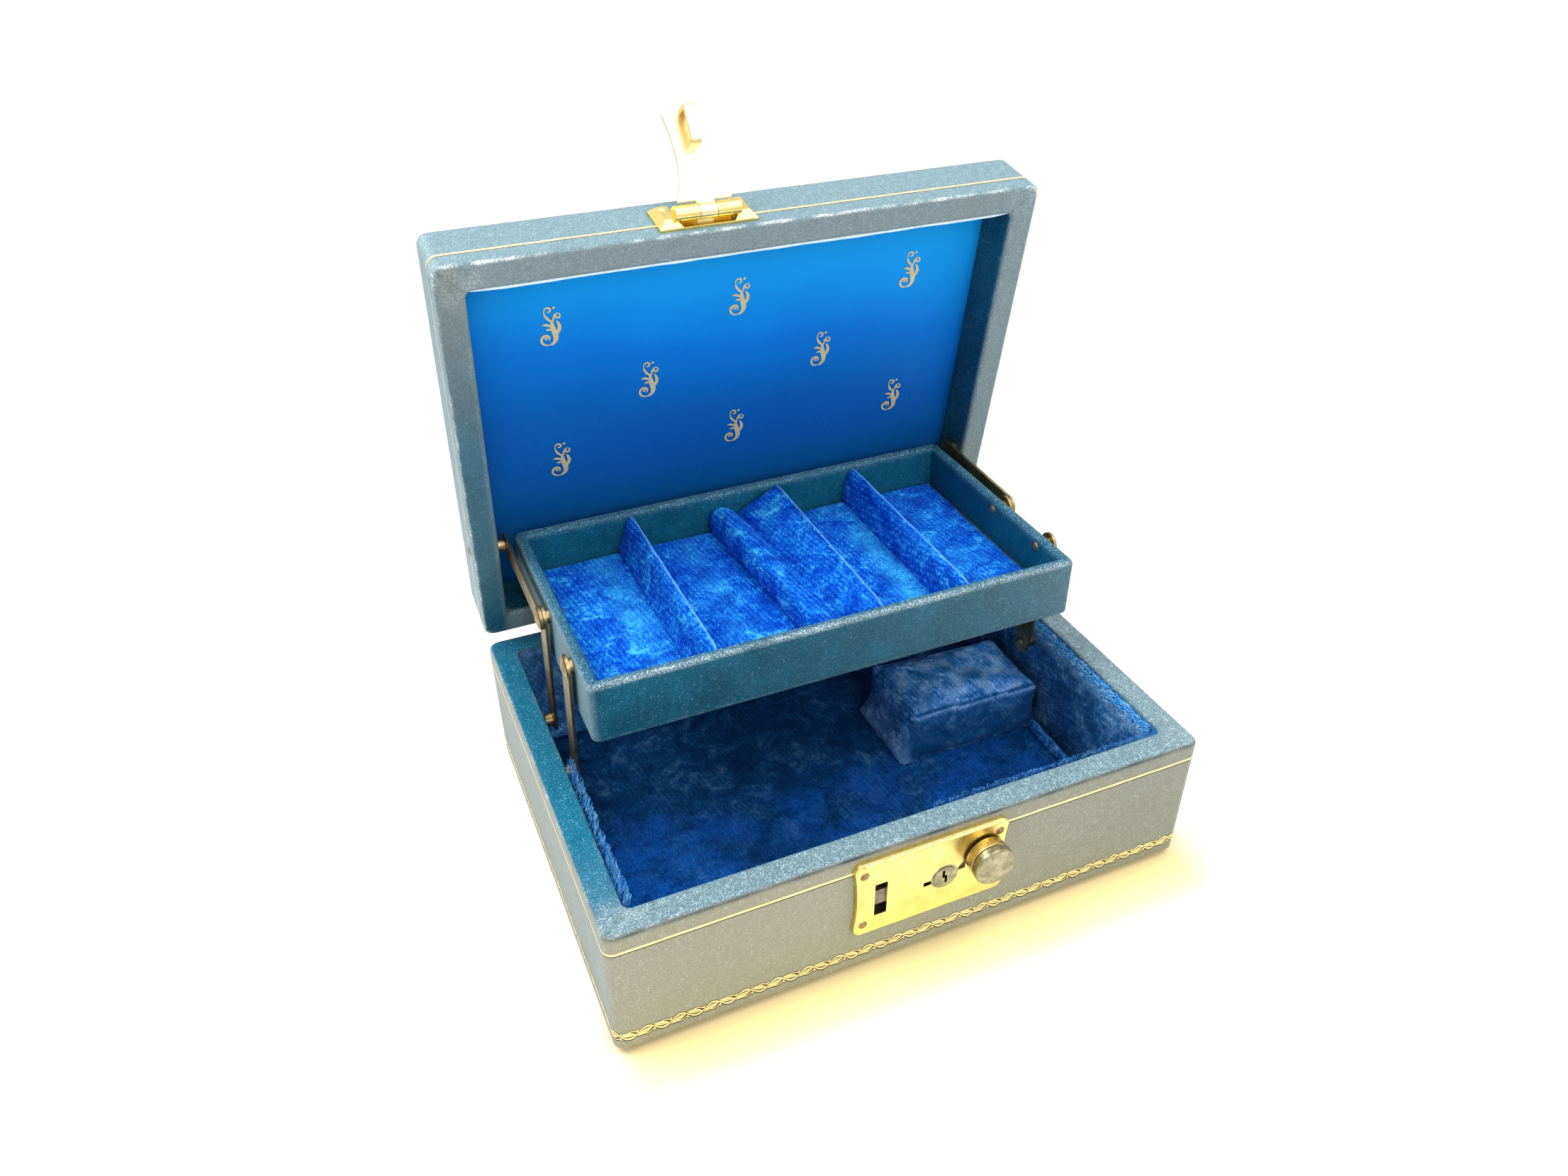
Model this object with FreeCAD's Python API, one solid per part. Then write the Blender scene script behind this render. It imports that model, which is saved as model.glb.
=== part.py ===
import FreeCAD
import Part
import math
import os

os.makedirs("parts", exist_ok=True)

# Driving dimensions, in millimetres and degrees

# Case
case_width = 203.0
case_depth = 148.3
base_height = 49.3
lid_height = 22.2
lid_gap = 0.4
lid_open_angle = 80.0
corner_radius = 5.0
skin = 1.0
skin_edge_radius = 1.4
rim_width = 9.0
rim_inner_radius = 3.0
lining = 1.1
board = 3.0
foot_height = 2.5
foot_radius = 4.5
foot_inset = 9.0
soft_gap = 0.25

# Base furnishings
floor_pad_height = 2.5
bridge_width = 58.0
bridge_depth = 36.0
bridge_height = 22.5
bridge_crown = 2.5
bridge_draw_in = 2.5
bridge_wall_gap = 1.5
bridge_corner = 3.0
bridge_front = 4.0
ridge_height = 4.0
ridge_width = 3.0
ridge_length = 34.0

# Lid panel
lid_cavity_depth = 15.5
panel_card = 1.2
panel_crown = 0.6

# Rear hinges
hinge_offset = 1.5
hinge_spacing = 118.0
hinge_length = 28.0
leaf_height = 12.0
leaf_thickness = 0.7
knuckle_radius = 1.4
hinge_pin_radius = 0.7
knuckle_gap = 0.15
turning_clearance = 0.05

# Tray, in its raised place
tray_side_room = 6.9
tray_end_room = 34.2
tray_overhang = 4.25
tray_height = 21.4
tray_lift = 69.0
tray_wall = 4.1
tray_skin = 0.8
tray_corner_radius = 2.5
tray_rim_radius = 1.8
tray_board = 3.0
tray_pad_height = 4.5
divider_thickness = 3.2
divider_foot_width = 7.0
divider_foot_height = 3.5
divider_drop = 1.0
divider_left_share = -0.52
divider_middle_share = 0.152
divider_right_share = 0.526
roll_width = 20.0
roll_height = 9.5
roll_crown = 3.5
roll_draw_in = 1.2

# Arms and links
arm_length = 49.9
arm_lean = 9.4
arm_spacing = 28.4
arm_width = 8.0
arm_thickness = 1.0
arm_side_gap = 0.2
tray_pivot_from_rear = 49.5
tray_pivot_drop = 3.9
link_pivot_from_rear = 35.9
link_pivot_depth = 7.1
link_play = 1.55
rivet_radius = 1.25
tray_spacer = 1.2
spacer_radius = 2.4
small_head_radius = 2.2
large_head_radius = 3.7
head_height = 0.9
rivet_bite = 4.0

# Hasp
hasp_x = -16.5
hasp_width = 32.0
hasp_height = 13.0
hasp_rise = 2.2
hasp_wing_width = 7.6
hasp_wing_thickness = 3.0
hasp_chamfer = 2.2
hasp_plate = 0.9
hasp_axis_rise = 5.1
hasp_axis_offset = 4.0
hasp_knuckle_radius = 2.4
hasp_pin_radius = 0.9
hasp_angle = 135.0
tongue_length = 33.5
tongue_root_width = 17.5
tongue_waist_width = 11.6
tongue_end_width = 14.4
tongue_thickness = 1.2
tongue_root = 3.2
tongue_waist = 16.5
staple_length = 12.0
staple_width = 3.2
staple_bar = 1.4
staple_reach = 5.5

# Lock
lock_x = 1.0
plate_width = 53.0
plate_bottom = 16.0
plate_height = 30.5
plate_proud = 2.0
plate_sheet = 0.8
plate_corner_radius = 3.0
plate_edge_radius = 0.5
plate_waist = 0.9
lip_height = 1.4
lip_proud = 0.6
nail_inset = 3.2
nail_drop = 4.6
nail_radius = 1.5
nail_head = 0.6
nail_shank_radius = 0.6
nail_length = 5.0
slot_height = 13.4
slot_width = 4.2
slot_clear = 0.5
bolt_height = 6.0
slide_thickness = 0.9
slide_height = 15.0
slide_gap = 0.1
slide_travel = 3.6
slide_end = 0.6
knob_x = 19.2
knob_rise = 34.8
knob_radius = 6.8
knob_clear = 0.2
knob_cap_radius = 7.0
knob_barrel_length = 3.3
knob_groove = 0.5
knob_cap_length = 2.6
knob_stem_radius = 1.7
plug_x = 5.6
plug_rise = 29.9
plug_radius = 3.9
plug_housing_wall = 0.8
keyway_width = 0.9
keyway_length = 5.4
notch_length = 2.6
notch_height = 1.7
case_wall = 0.6
case_side_room = 1.6
case_depth_inside = 5.2
spring_thickness = 0.4
spring_height = 3.0
cam_length = 3.2
cam_thickness = 0.8
window_size = 4.2

# Places worked out from the driving dimensions
half_width = case_width / 2
half_depth = case_depth / 2
base_bottom = foot_height
base_top = base_bottom + base_height
opening_x = half_width - rim_width
opening_y = half_depth - rim_width
wood_in_x = opening_x + lining
wood_in_y = opening_y + lining
floor_top = base_bottom + board + floor_pad_height
lid_rim = base_top + lid_gap
lid_top = lid_rim + lid_height
satin_face = lid_rim + lid_cavity_depth
lid_board_under = lid_top - skin - board
hinge_y = half_depth + hinge_offset
hinge_z = base_top + lid_gap / 2

tray_half = opening_x - tray_side_room
tray_depth = 2 * opening_y - tray_end_room
tray_rear = half_depth + tray_overhang
tray_front = tray_rear - tray_depth
divider_left_x = divider_left_share * tray_half
divider_middle_x = divider_middle_share * tray_half
divider_right_x = divider_right_share * tray_half
tray_bottom = base_bottom + tray_lift
tray_top = tray_bottom + tray_height
tray_floor = tray_bottom + tray_board + tray_pad_height

rear_pivot_y = tray_rear - tray_pivot_from_rear
front_pivot_y = rear_pivot_y - arm_spacing
tray_pivot_z = tray_top - tray_pivot_drop
arm_shift = arm_length * math.sin(math.radians(arm_lean))
arm_rise = arm_length * math.cos(math.radians(arm_lean))
base_pivot_z = tray_pivot_z - arm_rise
arm_in_x = tray_half + tray_spacer + arm_side_gap
arm_out_x = arm_in_x + arm_thickness
link_in_x = arm_out_x + arm_side_gap
link_out_x = link_in_x + arm_thickness

front_face = -half_depth
plate_front = front_face - plate_proud
plate_back = plate_front + plate_sheet
plate_low = base_bottom + plate_bottom
plate_high = plate_low + plate_height
slide_front = plate_back + slide_gap
slide_back = slide_front + slide_thickness
plug_z = base_bottom + plug_rise
knob_z = base_bottom + knob_rise
slot_z = plug_z
slide_left = hasp_x - slot_width / 2 + slot_clear
slide_right = knob_x + knob_stem_radius + slide_end
slide_low = plug_z - slide_height / 2
slide_high = plug_z + slide_height / 2
case_left = hasp_x - slot_width / 2 - case_side_room
case_right = slide_right + slide_travel + case_wall
case_low = slide_low - case_wall - slide_gap
case_high = slide_high + case_wall + slide_gap
case_back = front_face + case_depth_inside


def vec(x, y, z):
    return FreeCAD.Vector(x, y, z)


def block(x0, x1, y0, y1, z0, z1):
    return Part.makeBox(x1 - x0, y1 - y0, z1 - z0, vec(x0, y0, z0))


def rounded_outline(x0, x1, y0, y1, z, radius):
    """A closed wire round a rectangle with quarter-circle corners, at height z."""
    if radius <= 0:
        corners = [vec(x0, y0, z), vec(x1, y0, z), vec(x1, y1, z), vec(x0, y1, z), vec(x0, y0, z)]
        return Part.makePolygon(corners)
    bend = radius * (1 - math.sqrt(0.5))
    a = [vec(x0 + radius, y0, z), vec(x1 - radius, y0, z)]
    b = [vec(x1, y0 + radius, z), vec(x1, y1 - radius, z)]
    c = [vec(x1 - radius, y1, z), vec(x0 + radius, y1, z)]
    d = [vec(x0, y1 - radius, z), vec(x0, y0 + radius, z)]
    corners = [
        Part.Arc(a[1], vec(x1 - bend, y0 + bend, z), b[0]),
        Part.Arc(b[1], vec(x1 - bend, y1 - bend, z), c[0]),
        Part.Arc(c[1], vec(x0 + bend, y1 - bend, z), d[0]),
        Part.Arc(d[1], vec(x0 + bend, y0 + bend, z), a[0]),
    ]
    edges = []
    for side, corner in zip((a, b, c, d), corners):
        edges.append(Part.LineSegment(side[0], side[1]).toShape())
        edges.append(corner.toShape())
    return Part.Wire(edges)


def rounded_block(x0, x1, y0, y1, z0, z1, radius):
    face = Part.Face(rounded_outline(x0, x1, y0, y1, z0, radius))
    return face.extrude(vec(0, 0, z1 - z0))


def centred_block(half_x, half_y, z0, z1, radius):
    return rounded_block(-half_x, half_x, -half_y, half_y, z0, z1, radius)


def rod_x(x0, x1, y, z, radius):
    return Part.makeCylinder(radius, x1 - x0, vec(x0, y, z), vec(1, 0, 0))


def rod_y(y0, y1, x, z, radius):
    return Part.makeCylinder(radius, y1 - y0, vec(x, y0, z), vec(0, 1, 0))


def rod_z(z0, z1, x, y, radius):
    return Part.makeCylinder(radius, z1 - z0, vec(x, y, z0), vec(0, 0, 1))


def dome(centre, direction, radius, height):
    """A low rivet head: a spherical cap standing on its flat side."""
    ball_radius = (radius ** 2 + height ** 2) / (2 * height)
    rim = vec(radius, 0, 0)
    half = math.atan2(radius, ball_radius - height) / 2
    middle = vec(ball_radius * math.sin(half), 0, ball_radius * math.cos(half) - ball_radius + height)
    top = vec(0, 0, height)
    edges = [
        Part.LineSegment(vec(0, 0, 0), rim).toShape(),
        Part.Arc(rim, middle, top).toShape(),
        Part.LineSegment(top, vec(0, 0, 0)).toShape(),
    ]
    cap = Part.Face(Part.Wire(edges)).revolve(vec(0, 0, 0), vec(0, 0, 1), 360)
    cap.Placement = FreeCAD.Placement(centre, FreeCAD.Rotation(vec(0, 0, 1), direction))
    return cap


def prism(points, travel):
    """A solid swept straight from a closed run of corners."""
    return Part.Face(Part.makePolygon(points + [points[0]])).extrude(travel)


def fused(shapes):
    return shapes[0].multiFuse(shapes[1:]).removeSplitter()


def mirrored(shape):
    return shape.mirror(vec(0, 0, 0), vec(1, 0, 0))


def both_sides(shapes):
    return Part.makeCompound(shapes + [mirrored(shape) for shape in shapes])


def opened(shape):
    """Turns a piece of the closed lid back to the open place."""
    turned = shape.copy()
    turned.rotate(vec(0, hinge_y, hinge_z), vec(1, 0, 0), -lid_open_angle)
    return turned


def swung(shape):
    """Swings a piece of the hasp's tongue up from its locked place."""
    turned = shape.copy()
    turned.rotate(vec(0, hasp_axis_y, hasp_axis_z), vec(1, 0, 0), -hasp_angle)
    return opened(turned)


finished = {}


def save(name, shape):
    """Keeps a finished piece, after a look at its solids."""
    solids = shape.Solids
    if not solids or not all(solid.isValid() for solid in solids):
        raise ValueError(name + " is not a sound solid")
    finished[name] = solids[0] if len(solids) == 1 else Part.makeCompound(solids)


def softened(shape, radius, chosen):
    """Rounds the edges whose middle point passes the test."""
    edges = [edge for edge in shape.Edges if chosen(edge.CenterOfMass)]
    return shape.makeFillet(radius, edges)


# Linkage places
lid_pivot_closed = vec(0, half_depth - link_pivot_from_rear, lid_rim + link_pivot_depth)
open_turn = FreeCAD.Rotation(vec(1, 0, 0), -lid_open_angle)
hinge_point = vec(0, hinge_y, hinge_z)
lid_pivot = hinge_point + open_turn.multVec(lid_pivot_closed - hinge_point)
tray_pivots = [front_pivot_y, rear_pivot_y]
base_pivots = [front_pivot_y + arm_shift, rear_pivot_y + arm_shift]
hasp_axis_y = front_face - hasp_axis_offset
hasp_axis_z = lid_rim + hasp_axis_rise


# Base carcass
def wall_frame(z0, z1, outer_x, outer_y, inner_x, inner_y, outer_radius, inner_radius):
    outside = centred_block(outer_x, outer_y, z0, z1, outer_radius)
    inside = centred_block(inner_x, inner_y, z0, z1, inner_radius)
    return outside.cut(inside)


def base_rivet_holes():
    holes = []
    for y in base_pivots:
        holes.append(rod_x(opening_x - 1, wood_in_x + rivet_bite, y, base_pivot_z, rivet_radius))
    return both_sides(holes)


def lock_pocket():
    return block(case_left, case_right, front_face - 1, case_back, case_low, case_high)


def lock_nail_places():
    xs = (lock_x - plate_width / 2 + nail_inset, lock_x + plate_width / 2 - nail_inset)
    zs = (plate_low + nail_drop, plate_high - nail_drop)
    return [(x, z) for x in xs for z in zs]


def lock_nail_holes():
    rods = []
    for x, z in lock_nail_places():
        rods.append(rod_y(front_face - 1, plate_front + nail_length, x, z, nail_shank_radius))
    return Part.makeCompound(rods)


def hinge_nail_places(height):
    """Two nails in each hinge leaf, at a height measured from the hinge line."""
    places = []
    for side in (-1, 1):
        for step in (-1, 1):
            places.append((side * hinge_spacing / 2 + step * hinge_length / 3, hinge_z + height))
    return places


def hinge_nail_holes(height):
    end = half_depth + leaf_thickness - nail_length
    rods = [rod_y(end, half_depth + 1, x, z, nail_shank_radius) for x, z in hinge_nail_places(height)]
    return Part.makeCompound(rods)


base_nail_height = -leaf_height * 0.6
lid_nail_height = leaf_height * 0.6
wall_top = base_top - skin
board_top = base_bottom + board
wood_out_x = half_width - skin
wood_out_y = half_depth - skin
wood_corner = corner_radius - skin
base_walls = wall_frame(
    board_top, wall_top, wood_out_x, wood_out_y, wood_in_x, wood_in_y, wood_corner, rim_inner_radius
)
for gap in (base_rivet_holes(), lock_pocket(), lock_nail_holes(), hinge_nail_holes(base_nail_height)):
    base_walls = base_walls.cut(gap)
save("base_walls", base_walls)

base_board = centred_block(wood_out_x, wood_out_y, base_bottom, board_top, wood_corner)
save("base_bottom_board", base_board)


def cover_shell(low, high, rim_at_top):
    """The covering sheet: four sides and the rim, round the wooden walls."""
    outside = centred_block(half_width, half_depth, low, high, corner_radius)
    rim_z = high if rim_at_top else low
    outside = softened(outside, skin_edge_radius, lambda middle: abs(middle.z - rim_z) < 0.01)
    hollow_low = low if rim_at_top else low + skin
    hollow = centred_block(wood_out_x, wood_out_y, hollow_low, high - skin, wood_corner)
    mouth_low = high - skin if rim_at_top else low
    mouth = centred_block(opening_x, opening_y, mouth_low, mouth_low + skin, rim_inner_radius)
    return outside.cut(hollow).cut(mouth)


base_cover = cover_shell(base_bottom, base_top, True)
for gap in (lock_pocket(), lock_nail_holes(), hinge_nail_holes(base_nail_height)):
    base_cover = base_cover.cut(gap)
save("base_cover", base_cover)



def lining_band(low, high):
    """The lining that runs round the inside of the wooden walls."""
    return wall_frame(
        low, high, wood_in_x, wood_in_y, opening_x, opening_y, rim_inner_radius, rim_inner_radius
    )


save("base_wall_lining", lining_band(board_top, wall_top).cut(base_rivet_holes()))

pad_x = opening_x - soft_gap
pad_y = opening_y - soft_gap
save("base_floor_pad", centred_block(pad_x, pad_y, board_top, floor_top, rim_inner_radius))

foot_places = []
for side in (-1, 1):
    for end in (-1, 1):
        foot_places.append((side * (half_width - foot_inset), end * (half_depth - foot_inset)))
feet = []
for x, y in foot_places:
    foot = Part.makeCone(foot_radius * 0.7, foot_radius, foot_height, vec(x, y, 0), vec(0, 0, 1))
    feet.append(foot)
save("feet", Part.makeCompound(feet))


# Watch bridge and low ridge in the base
def cushion(x0, x1, y0, y1, z0, z1, draw_in, crown, radius):
    """A pad with drawn-in sides and a crowned top, lofted through rounded outlines."""
    rise = z1 - z0
    stages = ((0, 0), (draw_in, 0.35), (draw_in, 0.6), (0.3 * draw_in, 0.85), (0.6 * draw_in, 0.94))
    outlines = []
    for inset, share in stages:
        z = z0 + share * rise
        outlines.append(rounded_outline(x0 + inset, x1 - inset, y0 + inset, y1 - inset, z, radius))
    brow = draw_in + 2 * crown
    outlines.append(rounded_outline(x0 + brow, x1 - brow, y0 + brow, y1 - brow, z1, radius))
    return Part.makeLoft(outlines, True, True)


bridge_x1 = opening_x - bridge_wall_gap
bridge_x0 = bridge_x1 - bridge_width
bridge_y0 = -bridge_front
bridge_y1 = bridge_y0 + bridge_depth
bridge_top = floor_top + bridge_height
bridge = cushion(
    bridge_x0, bridge_x1, bridge_y0, bridge_y1, floor_top, bridge_top,
    bridge_draw_in, bridge_crown, bridge_corner,
)
save("watch_bridge", bridge)

ridge_x1 = bridge_x1 - bridge_draw_in
ridge = rounded_block(
    ridge_x1 - ridge_width, ridge_x1, bridge_y0 - soft_gap - ridge_length, bridge_y0 - soft_gap,
    floor_top, floor_top + ridge_height, ridge_width * 0.3,
)
save("base_ridge", ridge)

# Lid
lid_walls_low = lid_rim + skin
lid_walls = wall_frame(
    lid_walls_low, lid_board_under, wood_out_x, wood_out_y,
    wood_in_x, wood_in_y, wood_corner, rim_inner_radius,
)


def lid_rivet_holes():
    hole = rod_x(opening_x - 1, half_width + 1, lid_pivot_closed.y, lid_pivot_closed.z, rivet_radius)
    return both_sides([hole])


hasp_nail_z = lid_rim + hasp_rise + hasp_height * 0.7
hasp_nail_xs = (hasp_x - hasp_width / 2 + hasp_wing_width / 2, hasp_x + hasp_width / 2 - hasp_wing_width / 2)


def hasp_nail_holes():
    start = front_face - hasp_wing_thickness
    end = front_face + nail_length
    return Part.makeCompound([rod_y(start, end, x, hasp_nail_z, nail_shank_radius) for x in hasp_nail_xs])


lid_gaps = (lid_rivet_holes(), hasp_nail_holes(), hinge_nail_holes(lid_nail_height))
for gap in lid_gaps:
    lid_walls = lid_walls.cut(gap)
save("lid_walls", opened(lid_walls))

lid_board = centred_block(wood_out_x, wood_out_y, lid_board_under, lid_top - skin, wood_corner)
save("lid_top_board", opened(lid_board))

lid_cover = cover_shell(lid_rim, lid_top, False)
lid_cover = softened(lid_cover, skin_edge_radius, lambda middle: abs(middle.z - lid_top) < 0.01)
for gap in lid_gaps:
    lid_cover = lid_cover.cut(gap)
save("lid_cover", opened(lid_cover))

lid_lining = lining_band(lid_walls_low, lid_board_under)
save("lid_wall_lining", opened(lid_lining.cut(lid_rivet_holes())))

card_under = lid_board_under - panel_card
card = centred_block(pad_x, pad_y, card_under, lid_board_under, rim_inner_radius)
save("lid_panel_card", opened(card))

satin_outlines = []
for inset, z in ((0, card_under), (0, satin_face + panel_crown), (3 * panel_crown, satin_face)):
    x = pad_x - inset
    y = pad_y - inset
    satin_outlines.append(rounded_outline(-x, x, -y, y, z, rim_inner_radius))
save("lid_satin_pad", opened(Part.makeLoft(satin_outlines, True, True)))


# Rear hinges
def hinge_leaf(centre_x, upward, knuckle_spans, bore):
    """A leaf on the back of the case with its rolled knuckles."""
    left = centre_x - hinge_length / 2
    clear = knuckle_radius + knuckle_gap
    near = hinge_z + upward * clear
    far = hinge_z + upward * leaf_height
    outer_y = half_depth + leaf_thickness
    pieces = [block(left, left + hinge_length, half_depth, outer_y, min(near, far), max(near, far))]
    for start, end in knuckle_spans:
        x0 = left + start
        x1 = left + end
        pieces.append(block(x0, x1, half_depth, outer_y, min(near, hinge_z), max(near, hinge_z)))
        pieces.append(rod_x(x0, x1, hinge_y, hinge_z, knuckle_radius))
    leaf = fused(pieces)
    return leaf.cut(rod_x(left - 1, left + hinge_length + 1, hinge_y, hinge_z, bore))


third = hinge_length / 3
base_spans = ((0, third - knuckle_gap), (2 * third + knuckle_gap, hinge_length))
lid_spans = ((third + knuckle_gap, 2 * third - knuckle_gap),)
base_leaf = hinge_leaf(hinge_spacing / 2, -1, base_spans, hinge_pin_radius)
lid_leaf = hinge_leaf(hinge_spacing / 2, 1, lid_spans, hinge_pin_radius + turning_clearance)
base_leaves = both_sides([base_leaf]).cut(hinge_nail_holes(base_nail_height))
lid_leaves = both_sides([lid_leaf]).cut(hinge_nail_holes(lid_nail_height))
save("hinge_base_leaves", base_leaves)
save("hinge_lid_leaves", opened(lid_leaves))
pin_x = hinge_spacing / 2 - hinge_length / 2
save("hinge_pins", both_sides([rod_x(pin_x, pin_x + hinge_length, hinge_y, hinge_z, hinge_pin_radius)]))


def hinge_nails(height):
    nails = []
    head_y = half_depth + leaf_thickness
    for x, z in hinge_nail_places(height):
        shank = rod_y(head_y - nail_length, head_y, x, z, nail_shank_radius)
        nails.append(fused([shank, dome(vec(x, head_y, z), vec(0, 1, 0), nail_radius, nail_head)]))
    return Part.makeCompound(nails)


save("hinge_base_nails", hinge_nails(base_nail_height))
save("hinge_lid_nails", opened(hinge_nails(lid_nail_height)))


# Tray
def tray_outline_block(inset, z0, z1, radius):
    return rounded_block(
        -tray_half + inset, tray_half - inset, tray_front + inset, tray_rear - inset, z0, z1, radius
    )


def tray_rivet_holes():
    start = tray_half - tray_wall - 1
    return both_sides([rod_x(start, tray_half + 1, y, tray_pivot_z, rivet_radius) for y in tray_pivots])


tray_board_top = tray_bottom + tray_board
tray_wood_top = tray_top - tray_skin
tray_walls = tray_outline_block(tray_skin, tray_board_top, tray_wood_top, tray_corner_radius - tray_skin)
tray_walls = tray_walls.cut(tray_outline_block(tray_wall - tray_skin, tray_board_top, tray_wood_top, 0))
tray_walls = tray_walls.cut(tray_rivet_holes())
save("tray_walls", tray_walls)
tray_base = tray_outline_block(tray_skin, tray_bottom, tray_board_top, tray_corner_radius - tray_skin)
save("tray_bottom_board", tray_base)

tray_skin_block = tray_outline_block(0, tray_bottom, tray_top, tray_corner_radius)
tray_skin_block = tray_skin_block.cut(tray_outline_block(tray_wall, tray_board_top, tray_top, 0))
tray_skin_block = softened(tray_skin_block, tray_rim_radius, lambda middle: abs(middle.z - tray_top) < 0.01)
tray_cover = tray_skin_block.cut(
    tray_outline_block(tray_skin, tray_bottom, tray_wood_top, tray_corner_radius - tray_skin).cut(
        tray_outline_block(tray_wall - tray_skin, tray_board_top, tray_wood_top, 0)
    )
)
save("tray_cover", tray_cover.cut(tray_rivet_holes()))

tray_in_x = tray_half - tray_wall - soft_gap
tray_in_front = tray_front + tray_wall + soft_gap
tray_in_rear = tray_rear - tray_wall - soft_gap
save("tray_floor_pad", block(-tray_in_x, tray_in_x, tray_in_front, tray_in_rear, tray_board_top, tray_floor))

divider_top = tray_top - divider_drop


def divider(x):
    """An upright padded strip with a wide foot and a rounded top edge."""
    half = divider_thickness / 2
    foot = divider_foot_width / 2
    shoulder = tray_floor + divider_foot_height
    low = divider_top - half
    y = tray_in_front
    ring = [
        vec(x - foot, y, tray_floor),
        vec(x + foot, y, tray_floor),
        vec(x + half, y, shoulder),
        vec(x + half, y, low),
    ]
    tail = [vec(x - half, y, low), vec(x - half, y, shoulder), vec(x - foot, y, tray_floor)]
    edges = [Part.LineSegment(a, b).toShape() for a, b in zip(ring, ring[1:])]
    crest = half * math.sqrt(0.5)
    edges.append(Part.Arc(ring[3], vec(x + crest, y, low + crest), vec(x, y, divider_top)).toShape())
    edges.append(Part.Arc(vec(x, y, divider_top), vec(x - crest, y, low + crest), tail[0]).toShape())
    edges += [Part.LineSegment(a, b).toShape() for a, b in zip(tail, tail[1:])]
    return Part.Face(Part.Wire(edges)).extrude(vec(0, tray_in_rear - tray_in_front, 0))


save("tray_divider_left", divider(divider_left_x))
save("tray_divider_middle", divider(divider_middle_x))
save("tray_divider_right", divider(divider_right_x))

roll_x1 = divider_middle_x - divider_foot_width / 2 - soft_gap
roll_x0 = roll_x1 - roll_width


def roll_section(y, tuck):
    """The ring roll's cross-section: flat below, drawn-in sides and an arched top."""
    left = roll_x0 + tuck
    right = roll_x1 - tuck
    waist = tray_floor + 0.3 * roll_height
    brow = tray_floor + roll_height - roll_crown
    peak = tray_floor + roll_height - tuck
    middle = (left + right) / 2
    outline = [
        Part.LineSegment(vec(left, y, tray_floor), vec(right, y, tray_floor)).toShape(),
        Part.LineSegment(vec(right, y, tray_floor), vec(right - roll_draw_in, y, waist)).toShape(),
        Part.LineSegment(vec(right - roll_draw_in, y, waist), vec(right, y, brow)).toShape(),
        Part.Arc(vec(right, y, brow), vec(middle, y, peak), vec(left, y, brow)).toShape(),
        Part.LineSegment(vec(left, y, brow), vec(left + roll_draw_in, y, waist)).toShape(),
        Part.LineSegment(vec(left + roll_draw_in, y, waist), vec(left, y, tray_floor)).toShape(),
    ]
    return Part.Wire(outline)


roll_taper = 3 * roll_draw_in
roll_stations = (
    (tray_in_front, roll_draw_in),
    (tray_in_front + roll_taper, 0),
    (tray_in_rear - roll_taper, 0),
    (tray_in_rear, roll_draw_in),
)
save("ring_roll", Part.makeLoft([roll_section(y, tuck) for y, tuck in roll_stations], True, True))


# Arms, links and their rivets
def strip(y0, z0, y1, z1, x0, hole0, hole1):
    """A flat bar with round ends and a hole at each end, standing across X."""
    along = vec(0, y1 - y0, z1 - z0)
    side = vec(0, -(z1 - z0), y1 - y0).normalize() * (arm_width / 2)
    start = vec(x0, y0, z0)
    corners = [start - side, start - side + along, start + side + along, start + side]
    bar = prism(corners, vec(arm_thickness, 0, 0))
    ends = [rod_x(x0, x0 + arm_thickness, y, z, arm_width / 2) for y, z in ((y0, z0), (y1, z1))]
    bar = fused([bar] + ends)
    for y, z, radius in ((y0, z0, hole0), (y1, z1, hole1)):
        bar = bar.cut(rod_x(x0 - 1, x0 + arm_thickness + 1, y, z, radius))
    return bar


pivot_hole = rivet_radius + turning_clearance
for name, base_y, tray_y in (
    ("front_arm", base_pivots[0], tray_pivots[0]),
    ("rear_arm", base_pivots[1], tray_pivots[1]),
):
    arm = strip(base_y, base_pivot_z, tray_y, tray_pivot_z, arm_in_x, pivot_hole, pivot_hole)
    save(name + "_right", arm)
    save(name + "_left", mirrored(arm))

link = strip(
    lid_pivot.y, lid_pivot.z, rear_pivot_y, tray_pivot_z, link_in_x, pivot_hole, rivet_radius + link_play
)
save("lid_link_right", link)
save("lid_link_left", mirrored(link))


def tube_x(x0, x1, y, z, radius, bore):
    return rod_x(x0, x1, y, z, radius).cut(rod_x(x0 - 1, x1 + 1, y, z, bore))


right = vec(1, 0, 0)
left = vec(-1, 0, 0)
tray_inside_x = tray_half - tray_wall
tray_rivets = []
for y, last_plate in ((tray_pivots[0], arm_out_x), (tray_pivots[1], link_out_x)):
    head_x = last_plate + arm_side_gap
    shank = rod_x(tray_inside_x, head_x, y, tray_pivot_z, rivet_radius)
    inner = dome(vec(tray_inside_x, y, tray_pivot_z), left, small_head_radius, head_height)
    outer = dome(vec(head_x, y, tray_pivot_z), right, large_head_radius, head_height)
    tray_rivets.append(fused([shank, inner, outer]))
save("tray_rivets", both_sides(tray_rivets))

tray_spacers = []
for y in tray_pivots:
    spacer_end = tray_half + tray_spacer
    tray_spacers.append(tube_x(tray_half, spacer_end, y, tray_pivot_z, spacer_radius, rivet_radius))
save("tray_spacers", both_sides(tray_spacers))

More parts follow.
